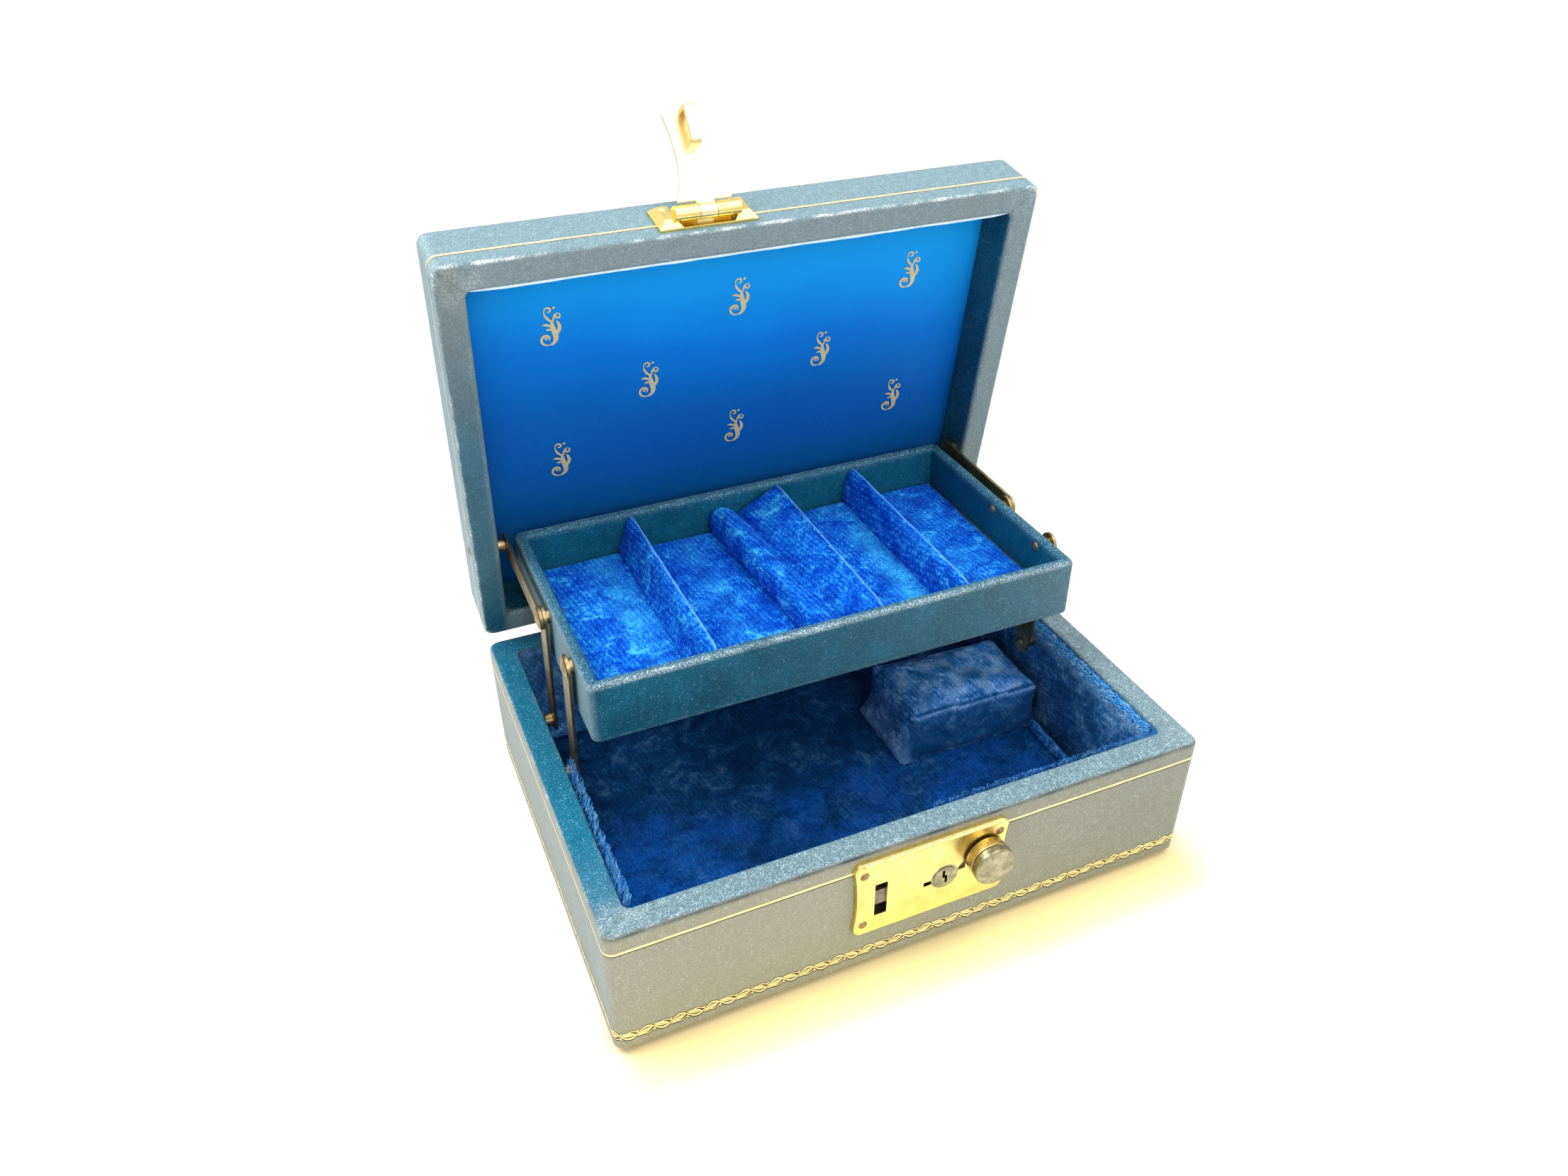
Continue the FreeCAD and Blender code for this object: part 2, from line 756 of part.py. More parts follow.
base_rivets = []
base_bushes = []
for y in base_pivots:
    head_x = arm_in_x - arm_side_gap
    shank = rod_x(head_x, wood_in_x + rivet_bite, y, base_pivot_z, rivet_radius)
    head = dome(vec(head_x, y, base_pivot_z), left, small_head_radius, head_height)
    base_rivets.append(fused([shank, head]))
    bush_x = arm_out_x + arm_side_gap
    base_bushes.append(tube_x(bush_x, opening_x, y, base_pivot_z, spacer_radius, rivet_radius))
save("base_arm_rivets", both_sides(base_rivets))
save("base_arm_bushes", both_sides(base_bushes))


def lid_rivet():
    head_x = link_in_x - arm_side_gap
    y = lid_pivot_closed.y
    z = lid_pivot_closed.z
    shank = rod_x(head_x, half_width, y, z, rivet_radius)
    inner = dome(vec(head_x, y, z), left, small_head_radius, head_height * 0.6)
    outer = dome(vec(half_width, y, z), right, small_head_radius, head_height * 0.6)
    return fused([shank, inner, outer])


save("lid_link_rivets", opened(both_sides([lid_rivet()])))
lid_bush = tube_x(
    link_out_x + arm_side_gap, opening_x, lid_pivot_closed.y, lid_pivot_closed.z, spacer_radius, rivet_radius
)
save("lid_link_bushes", opened(both_sides([lid_bush])))


# Hasp
def hasp_wing(x0, x1):
    """A raised wing with sloping sides, lofted from its foot to its face."""
    z0 = lid_rim + hasp_rise
    z1 = z0 + hasp_height
    outlines = []
    for inset, out in ((0, 0), (0, hasp_plate), (hasp_chamfer, hasp_wing_thickness)):
        y = front_face - out
        ring = [
            vec(x0 + inset, y, z0 + inset), vec(x1 - inset, y, z0 + inset),
            vec(x1 - inset, y, z1 - inset), vec(x0 + inset, y, z1 - inset), vec(x0 + inset, y, z0 + inset),
        ]
        outlines.append(Part.makePolygon(ring))
    return Part.makeLoft(outlines, True, True)


hasp_left = hasp_x - hasp_width / 2
hasp_right = hasp_x + hasp_width / 2
barrel_left = hasp_left + hasp_wing_width + knuckle_gap
barrel_right = hasp_right - hasp_wing_width - knuckle_gap
knuckle_third = (barrel_right - barrel_left) / 3
web_high = hasp_axis_z + hasp_knuckle_radius
hasp_low = lid_rim + hasp_rise
hasp_pieces = [
    hasp_wing(hasp_left, hasp_left + hasp_wing_width),
    hasp_wing(hasp_right - hasp_wing_width, hasp_right),
    block(hasp_left + 1, hasp_right - 1, front_face - hasp_plate, front_face, hasp_low, hasp_low + hasp_height),
]
fixed_spans = (
    (hasp_left + hasp_wing_width - hasp_chamfer, barrel_left + knuckle_third - knuckle_gap),
    (barrel_right - knuckle_third + knuckle_gap, hasp_right - hasp_wing_width + hasp_chamfer),
)
for x0, x1 in fixed_spans:
    hasp_pieces.append(rod_x(x0, x1, hasp_axis_y, hasp_axis_z, hasp_knuckle_radius))
    hasp_pieces.append(block(x0, x1, hasp_axis_y, front_face, hasp_axis_z + hasp_pin_radius, web_high))
hasp_block = fused(hasp_pieces)
hasp_block = hasp_block.cut(rod_x(hasp_left, hasp_right, hasp_axis_y, hasp_axis_z, hasp_pin_radius))
hasp_block = hasp_block.cut(hasp_nail_holes())
save("hasp_block", opened(hasp_block))
hasp_pin = rod_x(fixed_spans[0][0], fixed_spans[1][1], hasp_axis_y, hasp_axis_z, hasp_pin_radius)
save("hasp_pin", opened(hasp_pin))
hasp_nails = []
for x in hasp_nail_xs:
    nail_y = front_face - hasp_wing_thickness
    shank = rod_y(nail_y, front_face + nail_length, x, hasp_nail_z, nail_shank_radius)
    head = dome(vec(x, nail_y, hasp_nail_z), vec(0, -1, 0), nail_radius * 0.8, nail_head * 0.8)
    hasp_nails.append(fused([shank, head]))
save("hasp_nails", opened(Part.makeCompound(hasp_nails)))


def tongue_half_outline(side):
    """Half of the tongue's waisted outline, from its root to its round end."""
    root = hasp_axis_z - tongue_root
    waist = hasp_axis_z - tongue_waist
    shoulder = hasp_axis_z - (tongue_length - tongue_end_width / 4)
    end = hasp_axis_z - tongue_length
    y = hasp_axis_y - tongue_thickness / 2
    flare = (tongue_root_width + tongue_waist_width) / 4
    swell = (tongue_end_width + tongue_waist_width) / 4
    a = vec(hasp_x + side * tongue_root_width / 2, y, root)
    b = vec(hasp_x + side * (flare - 0.7), y, (root + waist) / 2)
    c = vec(hasp_x + side * tongue_waist_width / 2, y, waist)
    d = vec(hasp_x + side * (swell - 0.3), y, (waist + shoulder) / 2)
    e = vec(hasp_x + side * tongue_end_width / 2, y, shoulder)
    f = vec(hasp_x + side * tongue_end_width * 0.36, y, end + tongue_end_width * 0.06)
    g = vec(hasp_x, y, end)
    return [Part.Arc(a, b, c).toShape(), Part.Arc(c, d, e).toShape(), Part.Arc(e, f, g).toShape()], a


right_edges, right_root = tongue_half_outline(1)
left_edges, left_root = tongue_half_outline(-1)
root_edge = Part.LineSegment(left_root, right_root).toShape()
tongue_wire = Part.Wire(Part.__sortEdges__(right_edges + left_edges + [root_edge]))
tongue = Part.Face(tongue_wire).extrude(vec(0, tongue_thickness, 0))
middle_left = barrel_left + knuckle_third
middle_right = barrel_right - knuckle_third
tongue_front = hasp_axis_y - tongue_thickness / 2
tongue_back = hasp_axis_y + tongue_thickness / 2
neck_low = hasp_axis_z - tongue_root - 1
neck = block(middle_left, middle_right, tongue_front, tongue_back, neck_low, hasp_axis_z)
knuckle = rod_x(middle_left, middle_right, hasp_axis_y, hasp_axis_z, hasp_knuckle_radius)
tongue = fused([tongue, neck, knuckle])
bore = hasp_pin_radius + turning_clearance
tongue = tongue.cut(rod_x(middle_left - 1, middle_right + 1, hasp_axis_y, hasp_axis_z, bore))
save("hasp_tongue", swung(tongue))

staple_end = tongue_back + staple_reach
staple_low = slot_z - staple_length / 2
staple_high = slot_z + staple_length / 2
half_staple = staple_width / 2
staple_outer = block(hasp_x - half_staple, hasp_x + half_staple, tongue_back, staple_end, staple_low, staple_high)
staple_outer = softened(staple_outer, staple_bar, lambda middle: (
    abs(middle.x - hasp_x) < 0.01
    and abs(middle.y - staple_end) < 0.01
))
staple_hole = block(
    hasp_x - staple_width, hasp_x + staple_width, tongue_back, staple_end - staple_bar,
    staple_low + staple_bar, staple_high - staple_bar,
)
save("hasp_staple", swung(staple_outer.cut(staple_hole)))


# Lock plate with its slot, keyhole, knob slot and window
def plate_outline(inset, y):
    """The plate's outline, with round corners and gently hollow sides."""
    x0 = lock_x - plate_width / 2 + inset
    x1 = lock_x + plate_width / 2 - inset
    r = plate_corner_radius - inset
    z0 = plate_low + inset
    z1 = plate_high - inset
    bend = r * (1 - math.sqrt(0.5))
    middle_z = (z0 + z1) / 2
    edges = [
        Part.LineSegment(vec(x0 + r, y, z0), vec(x1 - r, y, z0)).toShape(),
        Part.Arc(vec(x1 - r, y, z0), vec(x1 - bend, y, z0 + bend), vec(x1, y, z0 + r)).toShape(),
        Part.Arc(vec(x1, y, z0 + r), vec(x1 - plate_waist, y, middle_z), vec(x1, y, z1 - r)).toShape(),
        Part.Arc(vec(x1, y, z1 - r), vec(x1 - bend, y, z1 - bend), vec(x1 - r, y, z1)).toShape(),
        Part.LineSegment(vec(x1 - r, y, z1), vec(x0 + r, y, z1)).toShape(),
        Part.Arc(vec(x0 + r, y, z1), vec(x0 + bend, y, z1 - bend), vec(x0, y, z1 - r)).toShape(),
        Part.Arc(vec(x0, y, z1 - r), vec(x0 + plate_waist, y, middle_z), vec(x0, y, z0 + r)).toShape(),
        Part.Arc(vec(x0, y, z0 + r), vec(x0 + bend, y, z0 + bend), vec(x0 + r, y, z0)).toShape(),
    ]
    return Part.Wire(edges)


plate_stages = (
    (0, front_face),
    (0, plate_front + plate_edge_radius),
    (0.3 * plate_edge_radius, plate_front + 0.3 * plate_edge_radius),
    (plate_edge_radius, plate_front),
)
plate = Part.makeLoft([plate_outline(inset, y) for inset, y in plate_stages], True, True)
plate = plate.cut(Part.Face(plate_outline(plate_sheet, plate_back)).extrude(vec(0, plate_proud, 0)))
lip_z = plate_high - lip_height / 2
lip = rod_x(lock_x - plate_width / 2 + plate_corner_radius, lock_x + plate_width / 2 - plate_corner_radius,
            plate_front + lip_height / 2 - lip_proud, lip_z, lip_height / 2)
plate = fused([plate, lip])
housing_radius = plug_radius + turning_clearance + plug_housing_wall
knob_slot = fused([
    rod_y(plate_front - 1, front_face + 1, knob_x, knob_z, knob_stem_radius + slide_gap),
    rod_y(plate_front - 1, front_face + 1, knob_x + slide_travel, knob_z, knob_stem_radius + slide_gap),
    block(knob_x, knob_x + slide_travel, plate_front - 1, front_face + 1,
          knob_z - knob_stem_radius - slide_gap, knob_z + knob_stem_radius + slide_gap),
])
window_x = knob_x - knob_radius + 0.4
window_y = plate_front - 1
window_corners = [
    vec(window_x, window_y, knob_z - window_size),
    vec(window_x, window_y, knob_z),
    vec(window_x - window_size * 0.8, window_y, knob_z - window_size),
]
plate_cuts = [
    block(hasp_x - slot_width / 2, hasp_x + slot_width / 2, plate_front - 1, front_face + 1,
          slot_z - slot_height / 2, slot_z + slot_height / 2),
    rod_y(plate_front - 1, front_face + 1, plug_x, plug_z, housing_radius),
    block(plug_x - housing_radius - notch_length, plug_x, plate_front - 1, front_face + 1,
          plug_z - notch_height, plug_z),
    knob_slot,
    prism(window_corners, vec(0, plate_proud + 2, 0)),
    lock_nail_holes(),
]
for x, z in lock_nail_places():
    plate_cuts.append(rod_y(plate_front - 1, front_face + 1, x, z, nail_shank_radius))
for gap in plate_cuts:
    plate = plate.cut(gap)
save("lock_plate", plate)

lock_nails = []
for x, z in lock_nail_places():
    shank = rod_y(plate_front, plate_front + nail_length, x, z, nail_shank_radius)
    lock_nails.append(fused([shank, dome(vec(x, plate_front, z), vec(0, -1, 0), nail_radius, nail_head)]))
save("lock_nails", Part.makeCompound(lock_nails))

# Lock case, housing, plug and cam
lock_case = block(case_left, case_right, front_face, case_back, case_low, case_high)
case_hollow = block(
    case_left + case_wall, case_right - case_wall, front_face, case_back - case_wall,
    case_low + case_wall, case_high - case_wall,
)
lock_case = lock_case.cut(case_hollow)
save("lock_case", lock_case)

housing_back = case_back - case_wall
housing = rod_y(plate_front, housing_back, plug_x, plug_z, housing_radius)
plug_bore = plug_radius + turning_clearance
housing = housing.cut(rod_y(plate_front - 1, housing_back + 1, plug_x, plug_z, plug_bore))
save("plug_housing", housing)

plug_face = plate_front - 0.2
cam_front = housing_back - cam_thickness - slide_gap
plug = rod_y(plug_face, cam_front, plug_x, plug_z, plug_radius)
keyway_half = keyway_length / 2
jog = keyway_width
keyway_deep = cam_front - 1.5
keyway_start = plug_face - 1
half_key = keyway_width / 2
keyway = [
    block(plug_x - jog, plug_x, keyway_start, keyway_deep, plug_z, plug_z + keyway_half),
    block(plug_x - jog, plug_x + jog, keyway_start, keyway_deep, plug_z - half_key, plug_z + half_key),
    block(plug_x, plug_x + jog, keyway_start, keyway_deep, plug_z - keyway_half, plug_z),
]
plug = plug.cut(fused(keyway))
save("key_plug", plug)
cam = fused([
    rod_y(cam_front, cam_front + cam_thickness, plug_x, plug_z, plug_radius * 0.6),
    block(plug_x - 0.9, plug_x + 0.9, cam_front, cam_front + cam_thickness, plug_z - cam_length, plug_z),
])
save("key_cam", cam)

# Latch slide, knob and spring
slide = block(slide_left, slide_right, slide_front, slide_back, slide_low, slide_high)
room = housing_radius + slide_gap
cut_front = slide_front - 1
cut_back = slide_back + 1
bolt_root = hasp_x + slot_width / 2 + slot_clear
bolt_low = plug_z - bolt_height / 2
bolt_high = plug_z + bolt_height / 2
slide_cuts = [
    block(plug_x - room - slide_travel, plug_x + room, cut_front, cut_back, plug_z - room, plug_z + room),
    block(slide_left - 1, bolt_root, cut_front, cut_back, bolt_high, slide_high + 1),
    block(slide_left - 1, bolt_root, cut_front, cut_back, slide_low - 1, bolt_low),
]
for gap in slide_cuts:
    slide = slide.cut(gap)
save("latch_slide", slide)

knob_foot = plate_front - nail_head - knob_clear
barrel_end = knob_foot - knob_barrel_length
cap_start = barrel_end - knob_groove
save("knob_stem", rod_y(cap_start, slide_front, knob_x, knob_z, knob_stem_radius))
barrel = rod_y(barrel_end, knob_foot, knob_x, knob_z, knob_radius)
barrel = softened(barrel, 0.4, lambda middle: abs(middle.y - barrel_end) < 0.01)
save("knob_barrel", barrel.cut(rod_y(barrel_end - 1, knob_foot + 1, knob_x, knob_z, knob_stem_radius)))
cap_end = cap_start - knob_cap_length
cap = rod_y(cap_end, cap_start, knob_x, knob_z, knob_cap_radius)
cap = softened(cap, 0.7, lambda middle: abs(middle.y - cap_end) < 0.01)
save("knob_cap", cap)

spring_x = case_right - case_wall
spring_low = slide_low + 1
spring_high = slide_high - 1
spring_y = front_face + slide_gap
bow = slide_right
middle_z = (spring_low + spring_high) / 2
t = spring_thickness
outer_low = vec(spring_x, spring_y, spring_low)
outer_high = vec(spring_x, spring_y, spring_high)
inner_low = vec(spring_x, spring_y, spring_low + 2 * t)
inner_high = vec(spring_x, spring_y, spring_high - 2 * t)
spring_edges = [
    Part.Arc(outer_low, vec(bow, spring_y, middle_z), outer_high).toShape(),
    Part.LineSegment(outer_high, inner_high).toShape(),
    Part.Arc(inner_high, vec(bow + t, spring_y, middle_z), inner_low).toShape(),
    Part.LineSegment(inner_low, outer_low).toShape(),
]
save("latch_spring", Part.Face(Part.Wire(spring_edges)).extrude(vec(0, spring_height, 0)))

# The origin is the middle of the whole open box's footprint, on the plane that the feet stand on
whole_box = Part.makeCompound(list(finished.values())).optimalBoundingBox(False, False)
to_origin = vec(-whole_box.Center.x, -whole_box.Center.y, -whole_box.ZMin)
for name, shape in finished.items():
    shape.translate(to_origin)
    shape.exportStep("parts/" + name + ".step")
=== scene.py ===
import math

import bpy
import numpy as np
from mathutils import Matrix, Vector, kdtree, noise


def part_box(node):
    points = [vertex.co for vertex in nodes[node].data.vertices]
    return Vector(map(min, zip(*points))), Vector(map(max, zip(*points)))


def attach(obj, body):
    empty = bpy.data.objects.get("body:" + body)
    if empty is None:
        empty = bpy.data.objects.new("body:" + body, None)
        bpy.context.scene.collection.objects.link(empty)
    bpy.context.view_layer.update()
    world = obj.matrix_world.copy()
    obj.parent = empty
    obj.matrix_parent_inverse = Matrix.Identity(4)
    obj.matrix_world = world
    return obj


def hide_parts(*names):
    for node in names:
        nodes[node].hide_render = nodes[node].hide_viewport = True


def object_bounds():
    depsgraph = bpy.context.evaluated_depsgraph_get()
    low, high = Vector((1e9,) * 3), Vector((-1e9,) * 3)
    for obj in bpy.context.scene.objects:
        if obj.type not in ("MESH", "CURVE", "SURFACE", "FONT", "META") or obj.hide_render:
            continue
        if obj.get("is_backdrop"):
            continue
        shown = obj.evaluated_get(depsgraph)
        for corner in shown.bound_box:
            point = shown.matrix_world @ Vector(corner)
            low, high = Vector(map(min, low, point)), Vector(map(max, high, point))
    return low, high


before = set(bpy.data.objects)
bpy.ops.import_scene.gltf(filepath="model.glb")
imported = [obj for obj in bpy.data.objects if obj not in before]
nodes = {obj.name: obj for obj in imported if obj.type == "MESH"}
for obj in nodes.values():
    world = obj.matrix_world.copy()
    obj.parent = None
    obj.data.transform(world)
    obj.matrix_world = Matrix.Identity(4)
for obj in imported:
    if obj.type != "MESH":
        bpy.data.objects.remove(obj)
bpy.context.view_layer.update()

# Sizes in metres, measured from the middle of the case at floor level
MM = 0.001
cover_low, cover_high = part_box("base_cover")
CASE_Y = (cover_low.y + cover_high.y) / 2
HALF_X = (cover_high.x - cover_low.x) / 2
HALF_Y = (cover_high.y - cover_low.y) / 2
BASE_LOW = cover_low.z
BASE_TOP = cover_high.z
RIM = 9.0 * MM
CORNER = 3.4 * MM
MOUTH_CORNER = 2.6 * MM
LID_RIM = BASE_TOP + 0.4 * MM
LID_TOP = LID_RIM + 22.2 * MM
LID_ANGLE = 80.0
SATIN = LID_RIM + 15.5 * MM
HINGE = Vector((0, HALF_Y + 1.5 * MM, BASE_TOP + 0.2 * MM))
tray_low, tray_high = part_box("tray_cover")
TRAY_HALF = tray_high.x
TRAY_FRONT = tray_low.y - CASE_Y
TRAY_REAR = tray_high.y - CASE_Y
TRAY_LOW = tray_low.z
TRAY_TOP = tray_high.z
TRAY_WALL = 4.1 * MM
TRAY_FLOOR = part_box("tray_floor_pad")[1].z
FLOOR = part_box("base_floor_pad")[1].z

# Points along the short and the long sides of a swept ring, and round each corner
WALL_STEPS, COVER_BEND = (56, 78), 12
TRAY_STEPS = (40, 66)
LINING_STEPS, LINE_BEND = (110, 150), 8

CASE = Matrix.Translation((0, CASE_Y, 0))
LID = (CASE @ Matrix.Translation(HINGE) @ Matrix.Rotation(math.radians(-LID_ANGLE), 4, "X")
       @ Matrix.Translation(-HINGE))


# Node material helpers
class Maker:
    """Builds one node material, piece by piece."""

    def __init__(self, name):
        self.material = bpy.data.materials.new(name)
        self.material.use_nodes = True
        self.tree = self.material.node_tree
        self.shader = self.tree.nodes["Principled BSDF"]
        self.place = self.tree.nodes.new("ShaderNodeTexCoord").outputs["Object"]

    def feed(self, socket, value):
        """Links a socket to an output, or sets it to a plain value."""
        if hasattr(value, "is_linked"):
            self.tree.links.new(value, socket)
        else:
            socket.default_value = value

    def node(self, kind, out, **values):
        """A new node's output; capital names are its inputs, the others its settings."""
        node = self.tree.nodes.new("ShaderNode" + kind)
        for name, value in values.items():
            if name[0].isupper():
                self.feed(node.inputs[name.replace("_", " ")], value)
            else:
                setattr(node, name, value)
        return node.outputs[out]

    def noise(self, size, detail, rough, warp=0.0, vector=None):
        return self.node("TexNoise", "Fac", Vector=vector or self.place, Scale=1.0 / size, Detail=detail,
                         Roughness=rough, Distortion=warp)

    def stretch(self, scale, turn):
        return self.node("Mapping", "Vector", Vector=self.place, Scale=scale, Rotation=turn)

    def streaks(self, sizes, detail, rough, warp=0.0, turn=(0, 0, 0)):
        """Noise with a size of its own along each axis."""
        return self.noise(1.0, detail, rough, warp, self.stretch(tuple(1 / size for size in sizes), turn))

    def cells(self, size):
        return self.node("TexVoronoi", "Distance", feature="SMOOTH_F1", Vector=self.place, Scale=1.0 / size,
                         Smoothness=0.4)

    def waves(self, size, vector=None, warp=0.0):
        """Diagonal bands of about this size."""
        return self.node("TexWave", "Fac", bands_direction="DIAGONAL", Vector=vector or self.place,
                         Scale=0.314 / size, Distortion=warp)

    def attribute(self, name):
        return self.node("Attribute", "Fac", attribute_name=name)

    def axis(self, letter):
        return self.node("SeparateXYZ", letter, Vector=self.place)

    def length(self):
        return self.node("VectorMath", "Value", operation="LENGTH", Vector=self.place)

    def ramp(self, value, stops):
        colour = self.node("ValToRGB", "Color", Fac=value)
        band = colour.node.color_ramp
        while len(band.elements) < len(stops):
            band.elements.new(0.5)
        for element, (place, shade) in zip(band.elements, stops):
            element.position = place
            element.color = (*shade, 1.0)
        return colour

    def grade(self, value, low, high, start=0.0, end=1.0):
        return self.node("MapRange", "Result", Value=value, From_Min=low, From_Max=high, To_Min=start, To_Max=end)

    def join(self, result, values):
        """Feeds a node's inputs in their order."""
        for socket, value in zip(result.node.inputs, values):
            self.feed(socket, value)
        return result

    def sum(self, a, b, share):
        """a, and a share of b."""
        return self.join(self.node("Math", 0, operation="MULTIPLY_ADD"), (b, share, a))

    def times(self, a, b):
        return self.join(self.node("Math", 0, operation="MULTIPLY"), (a, b))

    def mix(self, share, a, b, blend="MIX"):
        """Mixes colour b into colour a; a colour is an output or three numbers."""
        result = self.node("Mix", 2, data_type="RGBA", blend_type=blend, Factor=share)
        for index, colour in ((6, a), (7, b)):
            self.feed(result.node.inputs[index], (*colour, 1.0) if isinstance(colour, tuple) else colour)
        return result

    def bump(self, height, depth, strength):
        self.set(Normal=self.node("Bump", "Normal", Height=height, Distance=depth, Strength=strength))

    def set(self, **values):
        for name, value in values.items():
            self.feed(self.shader.inputs[name.replace("_", " ")], value)


TEAL_DEEP = (0.003, 0.070, 0.118)
TEAL_PALE = (0.008, 0.135, 0.215)
TEAL_CLEAR_LIT = (0.003, 0.165, 0.285)
TEAL_LIT = (0.34, 0.485, 0.53)
GLARE_GREY = (0.395, 0.362, 0.250)
PIT_SHADE = (0.30, 0.34, 0.36)
TIP_GLINT = (0.70, 0.84, 0.85)
WORN_AND_HIGHLIGHT_PALE = (0.80, 0.86, 0.85)
SEAM_AND_SHADE_DARK = (0.012, 0.04, 0.055)
FIBRE_SHINE = (0.35, 0.62, 0.90)
WEAVE_SHINE = (0.02, 0.34, 0.80)


def leatherette(name):
    """Pebbled leatherette with painted light: lit faces, sheen, glare, grain glints, edge highlights mixed with wear,
    and painted shade in the grain's pits, folds and edges; its seams are dark.
    """
    m = Maker(name)
    drift = m.noise(14 * MM, 4, 0.6)
    body = m.ramp(drift, [(0.3, TEAL_DEEP), (0.75, TEAL_PALE)])
    # painted light: clearer, lighter teal on the rims and other lit faces
    clear_lit = m.mix(m.attribute("teal"), body, TEAL_CLEAR_LIT)
    # painted sheen: pale teal where light glances off rims and walls
    lighter = m.mix(m.attribute("pale"), clear_lit, TEAL_LIT)
    # painted glare: warm grey where reflected light washes the covering out
    glare_by = m.attribute("glare")
    glared = m.mix(glare_by, lighter, GLARE_GREY)
    spark = m.attribute("spark")
    speck = m.noise(0.5 * MM, 2, 0.7)
    grain = m.sum(m.cells(0.56 * MM), speck, 0.5)
    depth = m.times(m.grade(glare_by, 0.0, 0.85, 0.80, 0.34), m.grade(spark, 0.0, 1.0, 0.45, 1.0))
    tone = m.sum(grain, m.noise(1.5 * MM, 3, 0.8), 1.2)
    # painted shade in the grain's pits and a darker mottle, less on washed-out faces
    shaded = m.mix(m.times(m.grade(tone, 1.06, 1.5), depth), glared, m.mix(1.0, glared, PIT_SHADE, "MULTIPLY"))
    # painted glints on the grain's tips
    tips = m.times(m.grade(tone, 1.06, 0.84, 0.0, 0.9), m.grade(spark, 0.0, 1.0, 0.04, 0.9))
    glints = m.mix(tips, shaded, TIP_GLINT)
    rubbed = m.times(m.grade(m.sum(drift, speck, 0.9), 0.66, 1.0), m.grade(grain, 0.80, 0.42, 0.2, 1.0))
    # pale wear on the edges and corners, mixed with painted highlights along the edges
    worn_and_lit = m.mix(m.times(m.attribute("wear_and_highlight"), rubbed), glints, WORN_AND_HIGHLIGHT_PALE)
    # dark mitre seams, and painted shade in the corner folds and along the edges' far bends
    m.set(Base_Color=m.mix(m.attribute("seam_and_shade"), worn_and_lit, SEAM_AND_SHADE_DARK))
    m.bump(grain, 0.22 * MM, 0.85)
    m.set(Roughness=m.grade(drift, 0.2, 0.8, 0.36, 0.5))
    m.set(Specular_IOR_Level=0.14, Coat_Weight=0.03, Coat_Roughness=0.2)
    return m.material


def velvet(name, dark, middle, light, glint, glow, crush, nap):
    """Crushed velvet: patches of pile that lie different ways, twill marks, short fibres with painted glints and
    painted shadow between them, and painted glow, shade and highlights where its glow, shade and lit attributes ask.
    """
    m = Maker(name)
    patches = m.noise(crush, 5, 0.60, 0.9)
    flecks = m.noise(crush * 0.26, 6, 0.72, 0.6)
    pile = m.sum(m.times(patches, 0.56), flecks, 0.44)
    shade = m.ramp(pile, [(0.37, dark), (0.475, middle), (0.555, light), (0.66, glint)])
    lifted = m.mix(m.times(m.attribute("glow"), m.grade(flecks, 0.36, 0.58, 0.25, 1.0)), shade, glow)
    hairs = m.streaks((0.36 * MM, 1.15 * MM, 0.75 * MM), 2, 0.75, 0.3, (0.25, 0.15, 0.75))
    twill = m.waves(1.3 * MM, m.stretch((1.0, 0.55, 0.8), (0.0, 0.0, 0.5)), 1.5)
    lie = m.times(m.grade(hairs, 0.50, 0.62), m.grade(twill, 0.25, 0.9, 0.15, 1.0))
    bright = m.mix(m.times(lie, m.grade(patches, 0.35, 0.62, 0.25 * nap, nap)), lifted, glint)
    shadow = m.mix(m.grade(hairs, 0.46, 0.34, 0.0, 0.75), bright, dark)
    dimmed = m.mix(m.attribute("shade"), shadow, tuple(0.6 * c for c in dark))
    shine = tuple(0.55 * c + 0.45 * w for c, w in zip(glint, FIBRE_SHINE))
    m.set(Base_Color=m.mix(m.times(m.attribute("lit"), m.grade(hairs, 0.35, 0.6, 0.35, 0.95)), dimmed, shine))
    m.bump(m.sum(m.times(pile, 1.6), hairs, 0.45), 0.55 * MM, 0.85)
    m.set(Roughness=0.85, Specular_IOR_Level=0.02, Sheen_Weight=0.07, Sheen_Roughness=0.3)
    m.set(Sheen_Tint=(0.2, 0.55, 1.0, 1.0))
    return m.material


def satin(name):
    """Twill satin with a painted reflection: light along its upper part and deep blue towards the hinge."""
    m = Maker(name)
    # painted reflection: lighter towards the top and to the right, deeper towards the hinge
    run = m.sum(m.grade(m.axis("Y"), -65 * MM, 65 * MM), m.grade(m.axis("X"), -92 * MM, 92 * MM), -0.13)
    soft = m.sum(run, m.noise(60 * MM, 2, 0.5), 0.20)
    shade = m.ramp(soft, [(0.03, (0.006, 0.33, 0.78)), (0.16, (0.004, 0.27, 0.72)), (0.34, (0.001, 0.14, 0.55)),
                          (0.56, (0.001, 0.072, 0.35)), (0.95, (0.001, 0.048, 0.20))])
    twill = m.waves(0.42 * MM)
    yarn = m.streaks((0.3 * MM, 3 * MM, 1 * MM), 2, 0.6)
    weave = m.sum(twill, yarn, 0.7)
    m.set(Base_Color=m.mix(m.grade(weave, 0.35, 1.35, 0.0, 0.22), shade, WEAVE_SHINE))
    m.bump(weave, 0.06 * MM, 0.5)
    m.set(Roughness=0.46, Specular_IOR_Level=0.04, Anisotropic=0.5)
    return m.material


